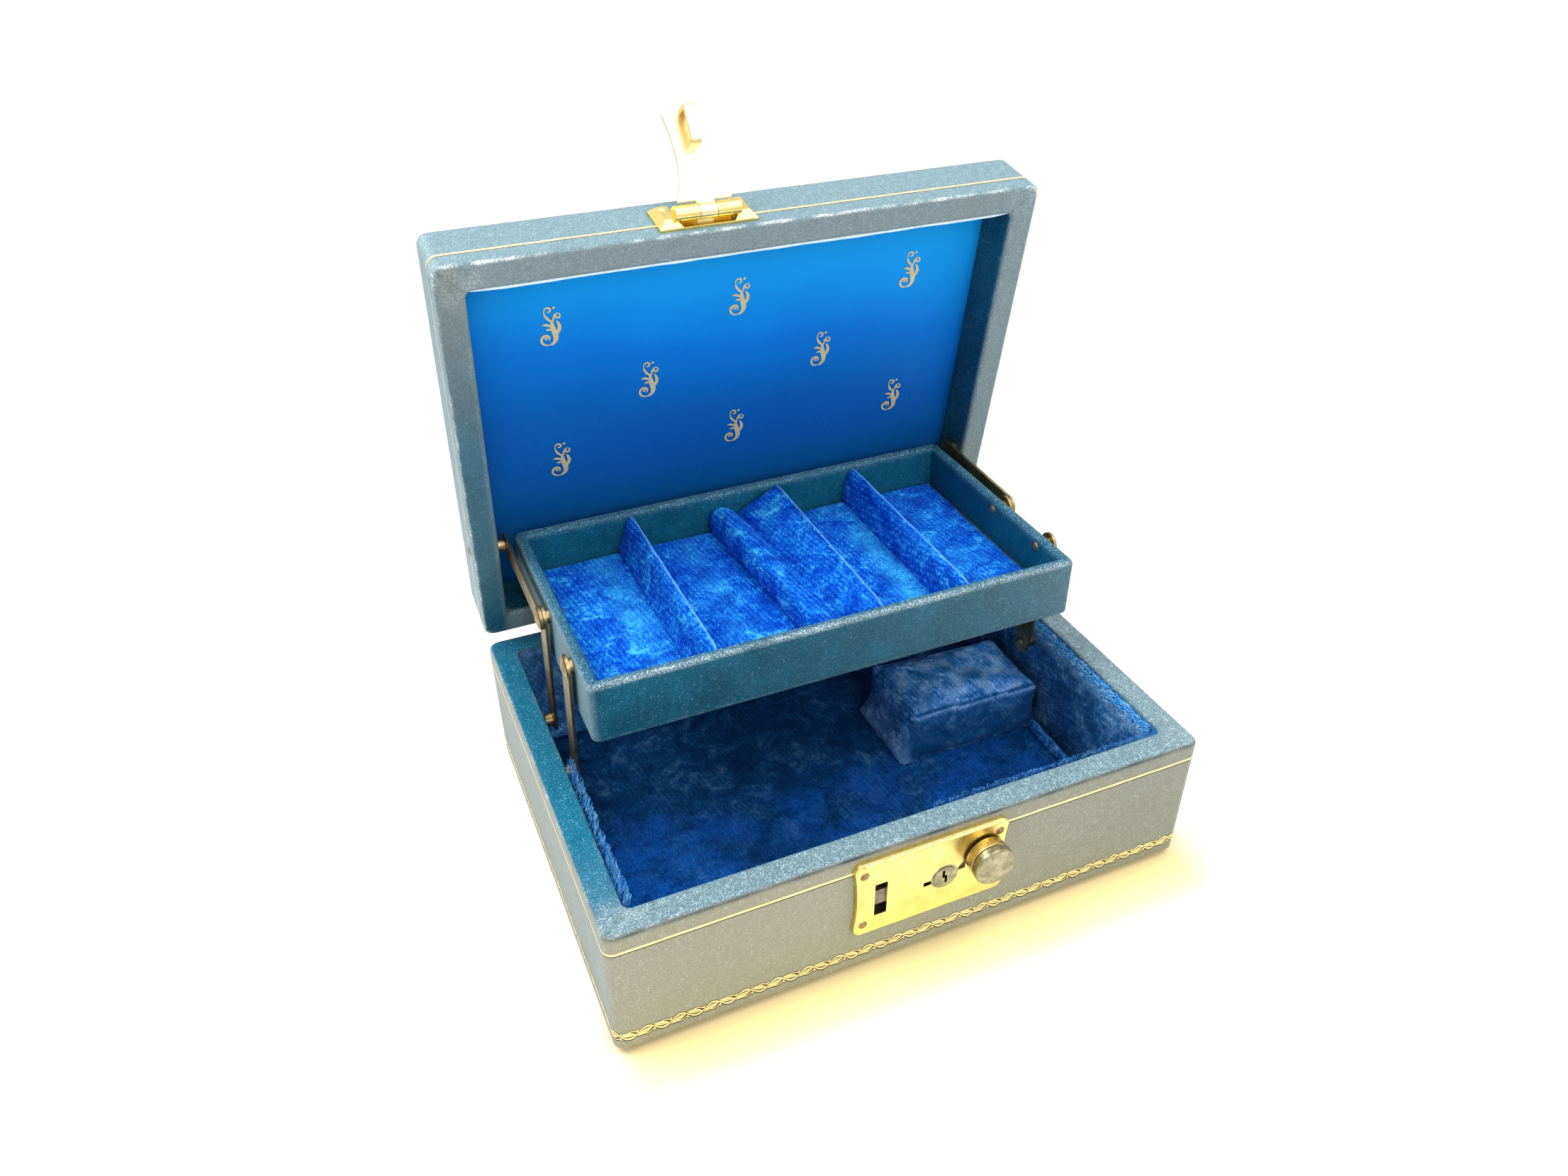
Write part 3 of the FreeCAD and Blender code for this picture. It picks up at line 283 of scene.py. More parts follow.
def metal(name, bright, dull, rough, tarnish, scratch=0.5, shine=1.0, marks=0.0):
    """Plated, stamped or printed metal with rubbed patches, tarnish and fine scratches."""
    m = Maker(name)
    cloud = m.noise(6 * MM, 4, 0.65, 0.3)
    rubbed = m.noise(1.6 * MM, 3, 0.7)
    tint = m.mix(m.grade(m.sum(cloud, rubbed, 0.4), 0.55, 0.95, 0.0, tarnish), bright, dull)
    lines = m.streaks((0.14 * MM, 3 * MM, 2.4 * MM), 2, 0.8, 0.0, (0.5, 0.9, 0.3))
    lined = m.mix(m.grade(lines, 0.62, 0.74, 0.0, 0.7 * tarnish), tint, dull)
    dents = m.streaks((1.6 * MM, 1.6 * MM, 0.5 * MM), 3, 0.7, 0.4, (0.0, 0.35, 0.0))
    m.set(Base_Color=m.mix(m.grade(dents, 0.66, 0.72, 0.0, marks), lined, tuple(0.45 * c for c in dull)))
    m.bump(m.sum(lines, rubbed, 0.8), 0.03 * MM, scratch)
    m.set(Roughness=m.grade(m.sum(cloud, lines, 0.5), 0.4, 1.1, rough, rough + 0.18), Metallic=shine)
    return m.material


def fibre_board(name, light, dark, grain):
    """Wood, card, paper or corded cloth: streaks that run along Y."""
    m = Maker(name)
    streaks = m.streaks((grain, grain * 12, grain), 4, 0.6, 0.6)
    m.set(Base_Color=m.ramp(streaks, [(0.3, dark), (0.7, light)]))
    m.bump(streaks, 0.1 * MM, 0.5)
    m.set(Roughness=0.75)
    return m.material


mat_leather = leatherette("leatherette")
mat_tray_velvet = velvet("tray_velvet", (0.001, 0.028, 0.37), (0.001, 0.074, 0.56), (0.003, 0.15, 0.68),
                         (0.08, 0.56, 0.86), (0.04, 0.44, 0.80), 8.5 * MM, 0.95)
mat_base_velvet = velvet("base_velvet", (0.001, 0.022, 0.078), (0.002, 0.036, 0.125), (0.004, 0.060, 0.20),
                         (0.06, 0.16, 0.28), (0.004, 0.10, 0.50), 12 * MM, 0.55)
# The bridge's and the lining's velvets are lighter copies of the floor's velvet, for painted light.
mat_bridge_velvet = velvet("bridge_velvet", (0.004, 0.076, 0.25), (0.008, 0.135, 0.43), (0.045, 0.25, 0.66),
                           (0.40, 0.64, 0.95), (0.01, 0.12, 0.45), 6.5 * MM, 0.75)
mat_lining_velvet = velvet("lining_velvet", (0.008, 0.075, 0.24), (0.020, 0.15, 0.42), (0.07, 0.29, 0.62),
                           (0.40, 0.72, 0.92), (0.02, 0.27, 0.72), 11 * MM, 0.7)
mat_fray = velvet("frayed_edge", (0.010, 0.22, 0.80), (0.06, 0.42, 0.93), (0.26, 0.68, 0.96), (0.74, 0.92, 0.97),
                  (0.05, 0.40, 0.85), 2.2 * MM, 0.5)
mat_satin = satin("lid_satin")
mat_brass = metal("lock_brass", (0.93, 0.76, 0.27), (0.50, 0.34, 0.09), 0.17, 0.55, marks=0.8)
mat_pale = metal("worn_brass", (0.93, 0.82, 0.50), (0.55, 0.39, 0.13), 0.22, 0.6, marks=0.5)
mat_aged = metal("aged_brass", (0.44, 0.34, 0.17), (0.10, 0.072, 0.036), 0.32, 0.9)
mat_nail = metal("brown_brass", (0.42, 0.27, 0.12), (0.12, 0.07, 0.03), 0.30, 0.8)
mat_knob = metal("knob_brass", (0.66, 0.52, 0.22), (0.20, 0.14, 0.06), 0.20, 0.8, marks=0.5)
mat_nickel = metal("nickel", (0.46, 0.41, 0.25), (0.10, 0.08, 0.04), 0.24, 1.0, marks=0.8)
mat_steel = metal("lock_steel", (0.27, 0.25, 0.22), (0.08, 0.06, 0.04), 0.40, 0.85)
mat_gold = metal("gold_print", (0.95, 0.80, 0.40), (0.62, 0.46, 0.18), 0.42, 0.6, 0.6, 0.3)
mat_scroll = metal("scroll_print", (0.62, 0.54, 0.30), (0.44, 0.36, 0.18), 0.42, 0.5, 0.6, 0.3)
# dark brown painted shadow for under the gold lines and the leaf band
mat_shadow_line = metal("painted_shadow_line", (0.050, 0.038, 0.022), (0.025, 0.018, 0.010), 0.6, 0.5, 0.4, 0.0)
mat_wood = fibre_board("plain_wood", (0.55, 0.40, 0.24), (0.38, 0.26, 0.14), 1.2 * MM)
mat_card = fibre_board("card", (0.50, 0.45, 0.37), (0.42, 0.37, 0.30), 0.5 * MM)
mat_foot = fibre_board("foot_fibre", (0.16, 0.11, 0.06), (0.07, 0.05, 0.03), 0.7 * MM)
mat_paper = fibre_board("bottom_paper", (0.035, 0.06, 0.08), (0.02, 0.035, 0.05), 0.6 * MM)


def dress(material, *names):
    """Gives CAD nodes a material."""
    for name in names:
        data = nodes[name].data
        data.materials.clear()
        data.materials.append(material)


dress(mat_wood, "base_walls", "lid_walls", "lid_top_board", "tray_walls")
dress(mat_paper, "base_bottom_board", "tray_bottom_board")
dress(mat_card, "lid_panel_card")
dress(mat_foot, "feet")
dress(mat_brass, "lock_plate", "hasp_block", "hasp_pin", "hasp_nails")
dress(mat_pale, "hasp_tongue", "hasp_staple")
dress(mat_nail, "lock_nails")
dress(mat_aged, "hinge_base_leaves", "hinge_lid_leaves", "hinge_pins", "hinge_base_nails", "hinge_lid_nails",
      "base_arm_rivets", "base_arm_bushes", "lid_link_rivets", "lid_link_bushes", "tray_rivets", "tray_spacers",
      "front_arm_left", "front_arm_right", "rear_arm_left", "rear_arm_right", "lid_link_left", "lid_link_right")
dress(mat_knob, "knob_stem", "knob_barrel")
dress(mat_steel, "lock_case", "latch_slide", "latch_spring", "key_cam")
dress(mat_nickel, "knob_cap", "plug_housing", "key_plug")


# Mesh helpers
def piece(name, verts, faces, material, body, place, attributes=None):
    """A new mesh piece, in case or closed-lid places, that rides on a body."""
    data = bpy.data.meshes.new(name)
    data.from_pydata([tuple(v) for v in verts], [], faces)
    data.validate()
    data.materials.append(material)
    for key, values in (attributes or {}).items():
        layer = data.attributes.new(key, "FLOAT", "POINT")
        layer.data.foreach_set("value", np.asarray(values, np.float32))
    data.polygons.foreach_set("use_smooth", [True] * len(data.polygons))
    obj = bpy.data.objects.new(name, data)
    bpy.context.scene.collection.objects.link(obj)
    obj.matrix_world = place
    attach(obj, body)
    return obj


def unit(value):
    """The value, held between nought and one."""
    return max(0.0, min(1.0, value))


def wobble(x, y, z, size, seed):
    """Smooth noise between about -1 and 1."""
    return noise.noise(Vector((x / size + seed, y / size - seed, z / size + 2 * seed)))


def loop(half_x, half_y, radius, step, bend, middle_y=0.0):
    """Points round a rounded rectangle: (x, y, outward x, outward y, nearness to a corner)."""
    points = []
    corners = ((1, -1, -90), (1, 1, 0), (-1, 1, 90), (-1, -1, 180))
    for k, (sx, sy, start) in enumerate(corners):
        cx = sx * (half_x - radius)
        cy = sy * (half_y - radius)
        for i in range(bend + 1):
            a = math.radians(start + 90.0 * i / bend)
            points.append((cx + radius * math.cos(a), middle_y + cy + radius * math.sin(a), math.cos(a), math.sin(a),
                           1 - abs(2 * i / bend - 1)))
        nsx, nsy, _ = corners[(k + 1) % 4]
        a = math.radians(start + 90)
        ex, ey = cx + radius * math.cos(a), cy + radius * math.sin(a)
        fx = nsx * (half_x - radius) + radius * math.cos(a)
        fy = nsy * (half_y - radius) + radius * math.sin(a)
        count = step[k % 2]
        for i in range(1, count):
            t = i / count
            points.append((ex + (fx - ex) * t, middle_y + ey + (fy - ey) * t, math.cos(a), math.sin(a), 0.0))
    return points


def ring_faces(rings, n, flip=False):
    """Quads between closed rings of n points; flip turns them over."""
    faces = []
    for k in range(rings - 1):
        for j in range(n):
            a, b = k * n + j, k * n + (j + 1) % n
            faces.append((a, a + n, b + n, b) if flip else (a, b, b + n, a + n))
    return faces


def tube_faces(rings, n, flip=False):
    """The same, closed with a cap at each end."""
    first, last = tuple(range(n)), tuple(range((rings - 1) * n, rings * n))
    return ring_faces(rings, n, flip) + ([first, last[::-1]] if flip else [last, first[::-1]])


def swept(profile, half_x, half_y, steps, bend, middle_y, shape):
    """Sweeps a profile of (inset, z, corner radius) round the case; shape() moves each point."""
    verts = []
    for k, (inset, z, radius) in enumerate(profile):
        for x, y, ox, oy, near in loop(half_x - inset, half_y - inset, radius, steps, bend, middle_y):
            verts.append(shape(k, x, y, z, ox, oy, near))
    n = len(verts) // len(profile)
    return verts, ring_faces(len(profile), n), n


def spread(start, end, count):
    """Evenly spaced values from start to end."""
    return [start + (end - start) * i / count for i in range(count + 1)]


def arc_profile(cx, cz, radius, start, end, count):
    """Points of an arc, with its angles in degrees."""
    angles = [math.radians(a) for a in spread(start, end, count)]
    return [(cx + radius * math.cos(a), cz + radius * math.sin(a)) for a in angles]


# Leatherette coverings
RIPPLE, FINE_RIPPLE = 0.10 * MM, 0.05 * MM
PUCKER = 0.9 * MM
SEAM = 0.32 * MM
MOST_WEAR_AND_HIGHLIGHT = 3.0


def corner_radius_at(inset):
    """The corner's radius between the outside of the wall and the mouth."""
    return CORNER + (MOUTH_CORNER - CORNER) * unit(inset / RIM)


def cover(name, outline, half_x, half_y, middle_y, radius_at, steps, body, place, wear_and_highlight_at, painted_light_at, mitre, cap=False,
          gap=None):
    """A covering sheet swept round the walls, with puckered and worn corners, painted highlights on its edges, and
    painted shade in its folds and on its edges' far bends.

    outline: (inset, z, (wear and painted highlight on the edge, share that lies on the rim, painted shade line if
    any)) from one hem to the other.
    """
    profile = [(inset, z, radius_at(inset)) for inset, z, _ in outline]
    wear_and_highlight, seam_and_shade = [], []
    tones = {"glare": [], "pale": [], "spark": [], "teal": []}

    def shape(k, x, y, z, ox, oy, near):
        edge, top, *line = outline[k][2]
        lift = RIPPLE * wobble(x, y, z, 9 * MM, 1.7) + FINE_RIPPLE * wobble(x, y, z, 3 * MM, 4.1)
        pucker = max(0.0, near - 0.15) * top * PUCKER * wobble(x, y, z, 2.6 * MM, 7.3)
        seam = SEAM * top * mitre * max(0.0, (near - 0.8) / 0.2)
        # wear mixed with painted highlights along the edges
        wear_and_highlight.append(min(MOST_WEAR_AND_HIGHLIGHT, wear_and_highlight_at(edge, x, y, z)))
        # shares of painted light: glare, sheen, grain glints and lit teal
        for values, tone in zip(tones.values(), painted_light_at(x, y, z, ox, oy, top)):
            values.append(tone)
        # painted shade in the corner folds
        fold = max(0.0, wobble(x, y, z, 1.9 * MM, 5.9) - 0.15) * near * 1.1
        # painted shade along the far bend of the marked edges, on the front and right faces
        edge_shade = sum(line) * max(0.0, -oy, ox) * (0.8 + 0.5 * wobble(x, y, z, 7 * MM, 8.8))
        seam_and_shade.append(min(1.0, top * (mitre * 0.85 * max(0.0, (near - 0.75) / 0.25) + (1 - mitre) * fold) + edge_shade))
        side = 0.0 if top > 0.5 else min(0.0, lift)
        height = min(0.0, lift + pucker - seam) if top > 0.5 else 0.0
        return (x + ox * side, y + oy * side, z - height if cap else z + height)

    verts, faces, n = swept(profile, half_x, half_y, steps, COVER_BEND, middle_y, shape)
    if gap:
        faces = [face for face in faces if not all(gap(verts[v]) for v in face)]
    if cap:
        faces.append(tuple(range((len(profile) - 1) * n, len(profile) * n)))
    return piece(name, verts, faces, mat_leather, body, place,
                 attributes={"wear_and_highlight": wear_and_highlight, "seam_and_shade": seam_and_shade, **tones})


def case_wear_and_highlight(edge, x, y, z):
    """Wear and painted highlights of the base and the lid: broken lines on the edges, most on the lid's front, and
    pale front corners.
    """
    patch = 0.5 + 0.5 * wobble(x, y, z, 16 * MM, 3.3)
    corner = max(0.0, 1 - math.hypot(abs(x) - HALF_X + 4 * MM, y + HALF_Y - 4 * MM) / (12 * MM))
    top = BASE_TOP - 1.2 * MM < z < LID_RIM + 1.2 * MM
    broken = unit(0.45 + 1.4 * wobble(x, y, z, 5 * MM, 6.7))
    if BASE_TOP + 0.2 * MM < z < LID_RIM + 2 * MM and y < -HALF_Y + 3 * MM:
        edge *= 2.5
    return edge * (0.3 + 0.9 * patch) * broken + (1.1 if x < 0 else 0.45) * corner * (1.0 if top else 0.1) * broken


def base_painted_light(x, y, z, ox, oy, top):
    """Shares of painted light, as (warm grey glare, pale teal sheen, grain glints, clear teal of lit faces); the lid's
    and the tray's are given the same way.
    """
    if top > 0.5:
        front = unit((-y - HALF_Y + RIM + 4 * MM) / (6 * MM))
        right = unit((x - HALF_X + RIM + 4 * MM) / (6 * MM))
        near_left = unit((-y - 35 * MM) / (35 * MM)) * 0.20
        grey = 0.16 * max(front, right)
        return grey, max(0.01, 0.58 * front, 0.68 * right, near_left), 0.45 + 0.5 * max(front, right), 1.0
    turn = unit((x + 20 * MM) / (100 * MM))
    warm = (0.85 - 0.15 * turn) * max(0.0, -oy) + 0.50 * max(0.0, -ox) + 0.40 * max(0.0, ox) + 0.40 * max(0.0, oy)
    cool = 0.42 * max(0.0, -ox) + 0.15 * max(0.0, ox) + 0.15 * max(0.0, oy)
    return min(0.86, warm), cool, 0.45, 0.0


def base_outline():
    """From the hem at the bottom, up the outside, over the rim and into the mouth."""
    edge = 1.6 * MM
    inner = 0.9 * MM
    out = [(0.5 * MM, BASE_LOW, (0.4, 0.0)), (0.0, BASE_LOW + 0.6 * MM, (0.3, 0.0))]
    out += [(0.0, z, (0.0, 0.0)) for z in spread(BASE_LOW + 1.6 * MM, BASE_TOP - edge - 1 * MM, 10)]
    for i, (a, b) in enumerate(arc_profile(edge, BASE_TOP - edge, edge, 180, 90, 6)):
        share = i / 6
        # painted shade along the outer edge's lower bend
        line = (0.25, 0.6, 0.95, 0.6, 0.1, 0.0, 0.0)[i]
        out.append((a, b, (math.sin(math.pi * min(1, share + 0.15)) ** 3, share, line)))
    out += [(d, BASE_TOP, (0.0, 1.0)) for d in spread(edge + 0.8 * MM, RIM - inner - 0.6 * MM, 7)]
    for i, (a, b) in enumerate(arc_profile(RIM - inner, BASE_TOP - inner, inner, 90, 0, 4)):
        out.append((a, b, (0.15 + 0.2 * i / 4, 1.0 - 0.5 * i / 4)))
    out.append((RIM, BASE_TOP - 2.2 * MM, (0.0, 0.0)))
    return out


plate_low, plate_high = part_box("lock_plate")


def behind_plate(point):
    """True where the covering is cut away behind the lock plate, for the lock and the hasp's staple."""
    x, y, z = point
    return (y < -HALF_Y + 1 * MM and plate_low.x + 1.5 * MM < x < plate_high.x - 1.5 * MM
            and plate_low.z + 1.5 * MM < z < plate_high.z - 1.5 * MM)


cover_base = cover("base_covering", base_outline(), HALF_X, HALF_Y, 0.0, corner_radius_at, WALL_STEPS, "base", CASE,
                   case_wear_and_highlight, base_painted_light, 0.12, gap=behind_plate)
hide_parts("base_cover")


def lid_painted_light(x, y, z, ox, oy, top):
    """Painted glare and sheen: a pale rim, which darkens towards the hinge on its left side with painted shade; a dark
    inside; pale teal outer walls.
    """
    if top > 0.5:
        back = (y + HALF_Y) / (2 * HALF_Y)
        left = unit((-x - HALF_X + RIM + 2 * MM) / (4 * MM))
        near_front = max(0.0, 1 - back / 0.45)
        near_hinge = 0.07 * unit((0.95 - back) / 0.15)
        warm = 0.28 + (0.37 * near_front + near_hinge - 0.28) * left
        return warm, 0.40 + (0.10 * near_front + near_hinge - 0.40) * left, 0.15 * (1 - 0.6 * left), 0.0
    if z > LID_TOP - 1 * MM:
        return 0.04, 0.06, 0.3, 0.0
    if z > SATIN - 14 * MM and abs(x) < HALF_X - RIM + 0.5 * MM and abs(y) < HALF_Y - RIM + 0.5 * MM:
        return 0.0, 0.02, 0.3, 0.0
    cool = 0.58 * max(0.0, -oy) + 0.66 * max(0.0, -ox) + 0.25 * max(0.0, ox) + 0.16 * max(0.0, oy)
    return 0.08, cool, 0.28, 0.3


def lid_outline():
    """From the satin, down inside the closed lid, round the rim, up the outside and over the top."""
    edge = 1.3 * MM
    inner = 1.2 * MM
    out = [(RIM, z, (0.0, 0.0)) for z in spread(SATIN + 1.5 * MM, LID_RIM + inner + 1 * MM, 6)]
    for i, (a, b) in enumerate(arc_profile(RIM - inner, LID_RIM + inner, inner, 0, -90, 4)):
        out.append((a, b, (0.15, 0.5 + 0.5 * i / 4)))
    out += [(d, LID_RIM, (0.0, 1.0)) for d in spread(RIM - inner - 0.6 * MM, edge + 0.6 * MM, 7)]
    for i, (a, b) in enumerate(arc_profile(edge, LID_RIM + edge, edge, -90, -180, 6)):
        out.append((a, b, (1.5 * math.sin(math.pi * i / 6) ** 3, 1.0 - i / 6)))
    out += [(0.0, z, (0.0, 0.0)) for z in spread(LID_RIM + edge + 1 * MM, LID_TOP - edge - 1 * MM, 6)]
    for i, (a, b) in enumerate(arc_profile(edge, LID_TOP - edge, edge, 180, 90, 6)):
        # painted shade along the top edge's bend
        line = (0.0, 0.3, 0.8, 0.8, 0.3, 0.0, 0.0)[i]
        out.append((a, b, (0.7 * math.sin(math.pi * i / 6) ** 3, 0.0, line)))
    out += [(d, LID_TOP, (0.0, 0.0)) for d in spread(edge + 1.5 * MM, 60 * MM, 12)]
    return out


cover_lid = cover("lid_covering", lid_outline(), HALF_X, HALF_Y, 0.0, corner_radius_at, WALL_STEPS, "lid", LID,
                  case_wear_and_highlight, lid_painted_light, 0.15, cap=True)
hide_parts("lid_cover", "lid_wall_lining")


def tray_radius(inset):
    """The tray's corner radius, from outside to inside."""
    return 2.5 * MM - 1.9 * MM * min(1.0, inset / TRAY_WALL)


def tray_wear_and_highlight(edge, x, y, z):
    """Wear and painted highlights of the tray: most along the top of its rear wall, some along the front."""
    patch = 0.5 + 0.5 * wobble(x, y, z, 12 * MM, 5.3)
    if y > TRAY_REAR - 1.9 * MM and z > TRAY_TOP - 1.0 * MM:
        return 1.1 if y > TRAY_REAR - 1.5 * MM else 0.6
    return edge * (0.75 + 0.6 * patch) if y < TRAY_FRONT + 2.5 * MM else edge * 0.6 * patch


def tray_painted_light(x, y, z, ox, oy, top):
    """Painted light: a lit clear teal rim with many painted glints, a plain inside, a front that painted sheen pales
    to the right, and a left wall pale with painted sheen.
    """
    across = (x + TRAY_HALF) / (2 * TRAY_HALF)
    if top > 0.5:
        return 0.0, 0.08 if oy > -0.5 else 0.12, 0.85, 0.55
    if abs(x) < TRAY_HALF - TRAY_WALL + 0.4 * MM and TRAY_FRONT + 3.6 * MM < y < TRAY_REAR - 3.6 * MM:
        return 0.0, 0.0, 0.10, 0.22
    return 0.03 * across, 0.24 * across ** 2 * max(0.0, -oy) + 0.36 * max(0.0, -ox), 0.2, 0.0


def tray_outline():
    """From the hem at the bottom, up the outside, over the rolled rim and down to the floor."""
    edge = 1.9 * MM
    out = [(0.4 * MM, TRAY_LOW, (0.0, 0.0)), (0.0, TRAY_LOW + 0.5 * MM, (0.2, 0.0))]
    out += [(0.0, z, (0.0, 0.0)) for z in spread(TRAY_LOW + 1.5 * MM, TRAY_TOP - edge - 0.8 * MM, 6)]
    for i, (a, b) in enumerate(arc_profile(edge, TRAY_TOP - edge, edge, 180, 90, 6)):
        out.append((a, b, (math.sin(math.pi * i / 6) * 0.6, i / 6)))
    for i, (a, b) in enumerate(arc_profile(TRAY_WALL - edge, TRAY_TOP - edge, edge, 90, 0, 6)):
        out.append((a, b, (0.2, 1.0 - 0.6 * i / 6)))
    out += [(TRAY_WALL, z, (0.0, 0.0)) for z in spread(TRAY_TOP - edge - 1 * MM, TRAY_FLOOR - 2 * MM, 5)]
    return out


tray_middle = (TRAY_FRONT + TRAY_REAR) / 2
cover_tray = cover("tray_covering", tray_outline(), TRAY_HALF, (TRAY_REAR - TRAY_FRONT) / 2, tray_middle, tray_radius,
                   TRAY_STEPS, "tray", CASE, tray_wear_and_highlight, tray_painted_light, 1.0)
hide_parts("tray_cover")


# Gold lines and the leaf band, with painted shadow under them
def stripe(name, z, width, body, place, material, proud):
    """A thin line round the case, a little proud of it."""
    rows = ((0.0, -width / 2), (-proud, -width * 0.3), (-proud, width * 0.3), (0.0, width / 2))
    profile = [(inset, z + rise, CORNER) for inset, rise in rows]

    def shape(k, x, y, z, ox, oy, near):
        return (x, y, z + 0.12 * MM * wobble(x, y, z, 7 * MM, 2.2))

    verts, faces, _ = swept(profile, HALF_X, HALF_Y, WALL_STEPS, LINE_BEND, 0.0, shape)
    line = piece(name, verts, faces, material, body, place)


GOLD_PROUD, SHADOW_PROUD = 0.05 * MM, 0.02 * MM
stripe("base_gold_line", BASE_LOW + 42.4 * MM, 0.9 * MM, "base", CASE, mat_gold, GOLD_PROUD)
stripe("lid_gold_line", LID_RIM + 7.0 * MM, 0.9 * MM, "lid", LID, mat_gold, GOLD_PROUD)
# thin dark lines under the gold lines: painted shadow
stripe("base_line_shadow", BASE_LOW + 41.75 * MM, 0.4 * MM, "base", CASE, mat_shadow_line, SHADOW_PROUD)
stripe("lid_line_shadow", LID_RIM + 6.4 * MM, 0.35 * MM, "lid", LID, mat_shadow_line, SHADOW_PROUD)


def outline_path():
    """The outside of the case as a run of (length so far, x, y, outward x, outward y)."""
    ring = loop(HALF_X, HALF_Y, CORNER, (60, 80), 16)
    ring.append(ring[0])
    run = [(0.0, *ring[0][:4])]
    for a, b in zip(ring, ring[1:]):
        run.append((run[-1][0] + math.hypot(b[0] - a[0], b[1] - a[1]), *b[:4]))
    return run


def ribbon_rows(points, widths):
    """The left edge, the middle and the right edge of a flat ribbon at each of its points."""
    for i, ((u, v), w) in enumerate(zip(points, widths)):
        (au, av), (bu, bv) = points[max(0, i - 1)], points[min(len(points) - 1, i + 1)]
        norm = math.hypot(bu - au, bv - av) or 1.0
        nu, nv = -(bv - av) / norm * w / 2, (bu - au) / norm * w / 2
        yield (u + nu, v + nv), (u, v), (u - nu, v - nv)


def hump(t):
    """Nought at both ends of a run from 0 to 1, and one in its middle."""
    return math.sin(math.pi * t)


LEAF_PITCH = 10.4 * MM


def leaf_band(name, z0, z1, material, widen, proud):
    """A vine of crossing arches, leaves and berries, stamped round the base."""
    run = outline_path()
    lengths = [r[0] for r in run]
    total = lengths[-1]
    table = np.array([r[1:] for r in run])

    def at(s, z, proud):
        s %= total
        x, y, ox, oy = (np.interp(s, lengths, table[:, k]) for k in range(4))
        return (x + ox * proud, y + oy * proud, z)

    verts, faces = [], []
    pitch = total / round(total / LEAF_PITCH)
    step = pitch / 2
    middle = (z0 + z1) / 2
    reach = (z1 - z0) / 2

    def ribbon(points, widths):
        start = len(verts)
        for left, line, right in ribbon_rows(points, [w + widen for w in widths]):
            verts.extend((at(*left, proud * 0.5), at(*line, proud), at(*right, proud * 0.5)))
        for a in range(start, len(verts) - 3, 3):
            faces.extend(((a, a + 1, a + 4, a + 3), (a + 1, a + 2, a + 5, a + 4)))

    for k in range(2 * round(total / pitch)):
        s0 = k * pitch / 2
        turn = 1 if k % 2 else -1
        arch = [(s0 + step * t, middle + turn * reach * 0.72 * hump(t)) for t in spread(0, 1, 12)]
        ribbon(arch, [0.32 * MM + 0.50 * MM * hump(t) for t in spread(0, 1, 12)])
        twine = [(s, 2 * middle - z) for s, z in arch]
        ribbon(twine, [0.26 * MM + 0.12 * MM * hump(t) for t in spread(0, 1, 12)])
        root = (s0 - 0.10 * step, middle - turn * reach * 0.62)
        tip = (s0 + 0.80 * step, middle + turn * reach * 0.22)
        for side, broad in ((1, 1.0), (-1, 0.8)):
            leaf = []
            for t in spread(0, 1, 9):
                bulge = side * 0.50 * MM * hump(t) ** 0.8
                leaf.append((root[0] + (tip[0] - root[0]) * t - turn * bulge * 0.5,
                             root[1] + (tip[1] - root[1]) * t + bulge * 0.8))
            ribbon(leaf, [0.16 * MM + 0.68 * MM * broad * hump(t) for t in spread(0, 1, 9)])
        berry = [(s0 + step * (0.88 + 0.13 * t), middle - turn * reach * (0.52 - 0.1 * t)) for t in spread(0, 1, 4)]
        ribbon(berry, [0.75 * MM * hump(0.1 + 0.8 * t) for t in spread(0, 1, 4)])
    band = piece(name, verts, faces, material, "base", CASE)


leaf_band("base_leaf_band", BASE_LOW + 3.7 * MM, BASE_LOW + 8.0 * MM, mat_gold, 0.0, 0.09 * MM)
# a wider dark copy under the leaves: painted shadow round them
leaf_band("base_leaf_shadow", BASE_LOW + 3.5 * MM, BASE_LOW + 7.9 * MM, mat_shadow_line, 0.66 * MM, 0.04 * MM)


# Soft linings and pads
def velvet_slot(obj):
    """Hands the piece back unchanged."""
    return obj


def places(data):
    """The mesh's points as an array."""
    co = np.zeros(len(data.vertices) * 3, np.float32)
    data.vertices.foreach_get("co", co)
    return co.reshape(-1, 3)


SWELL_SCALE = 10
SWELL_FRAMES = 20
SWELL_PRESSURE = 4.0


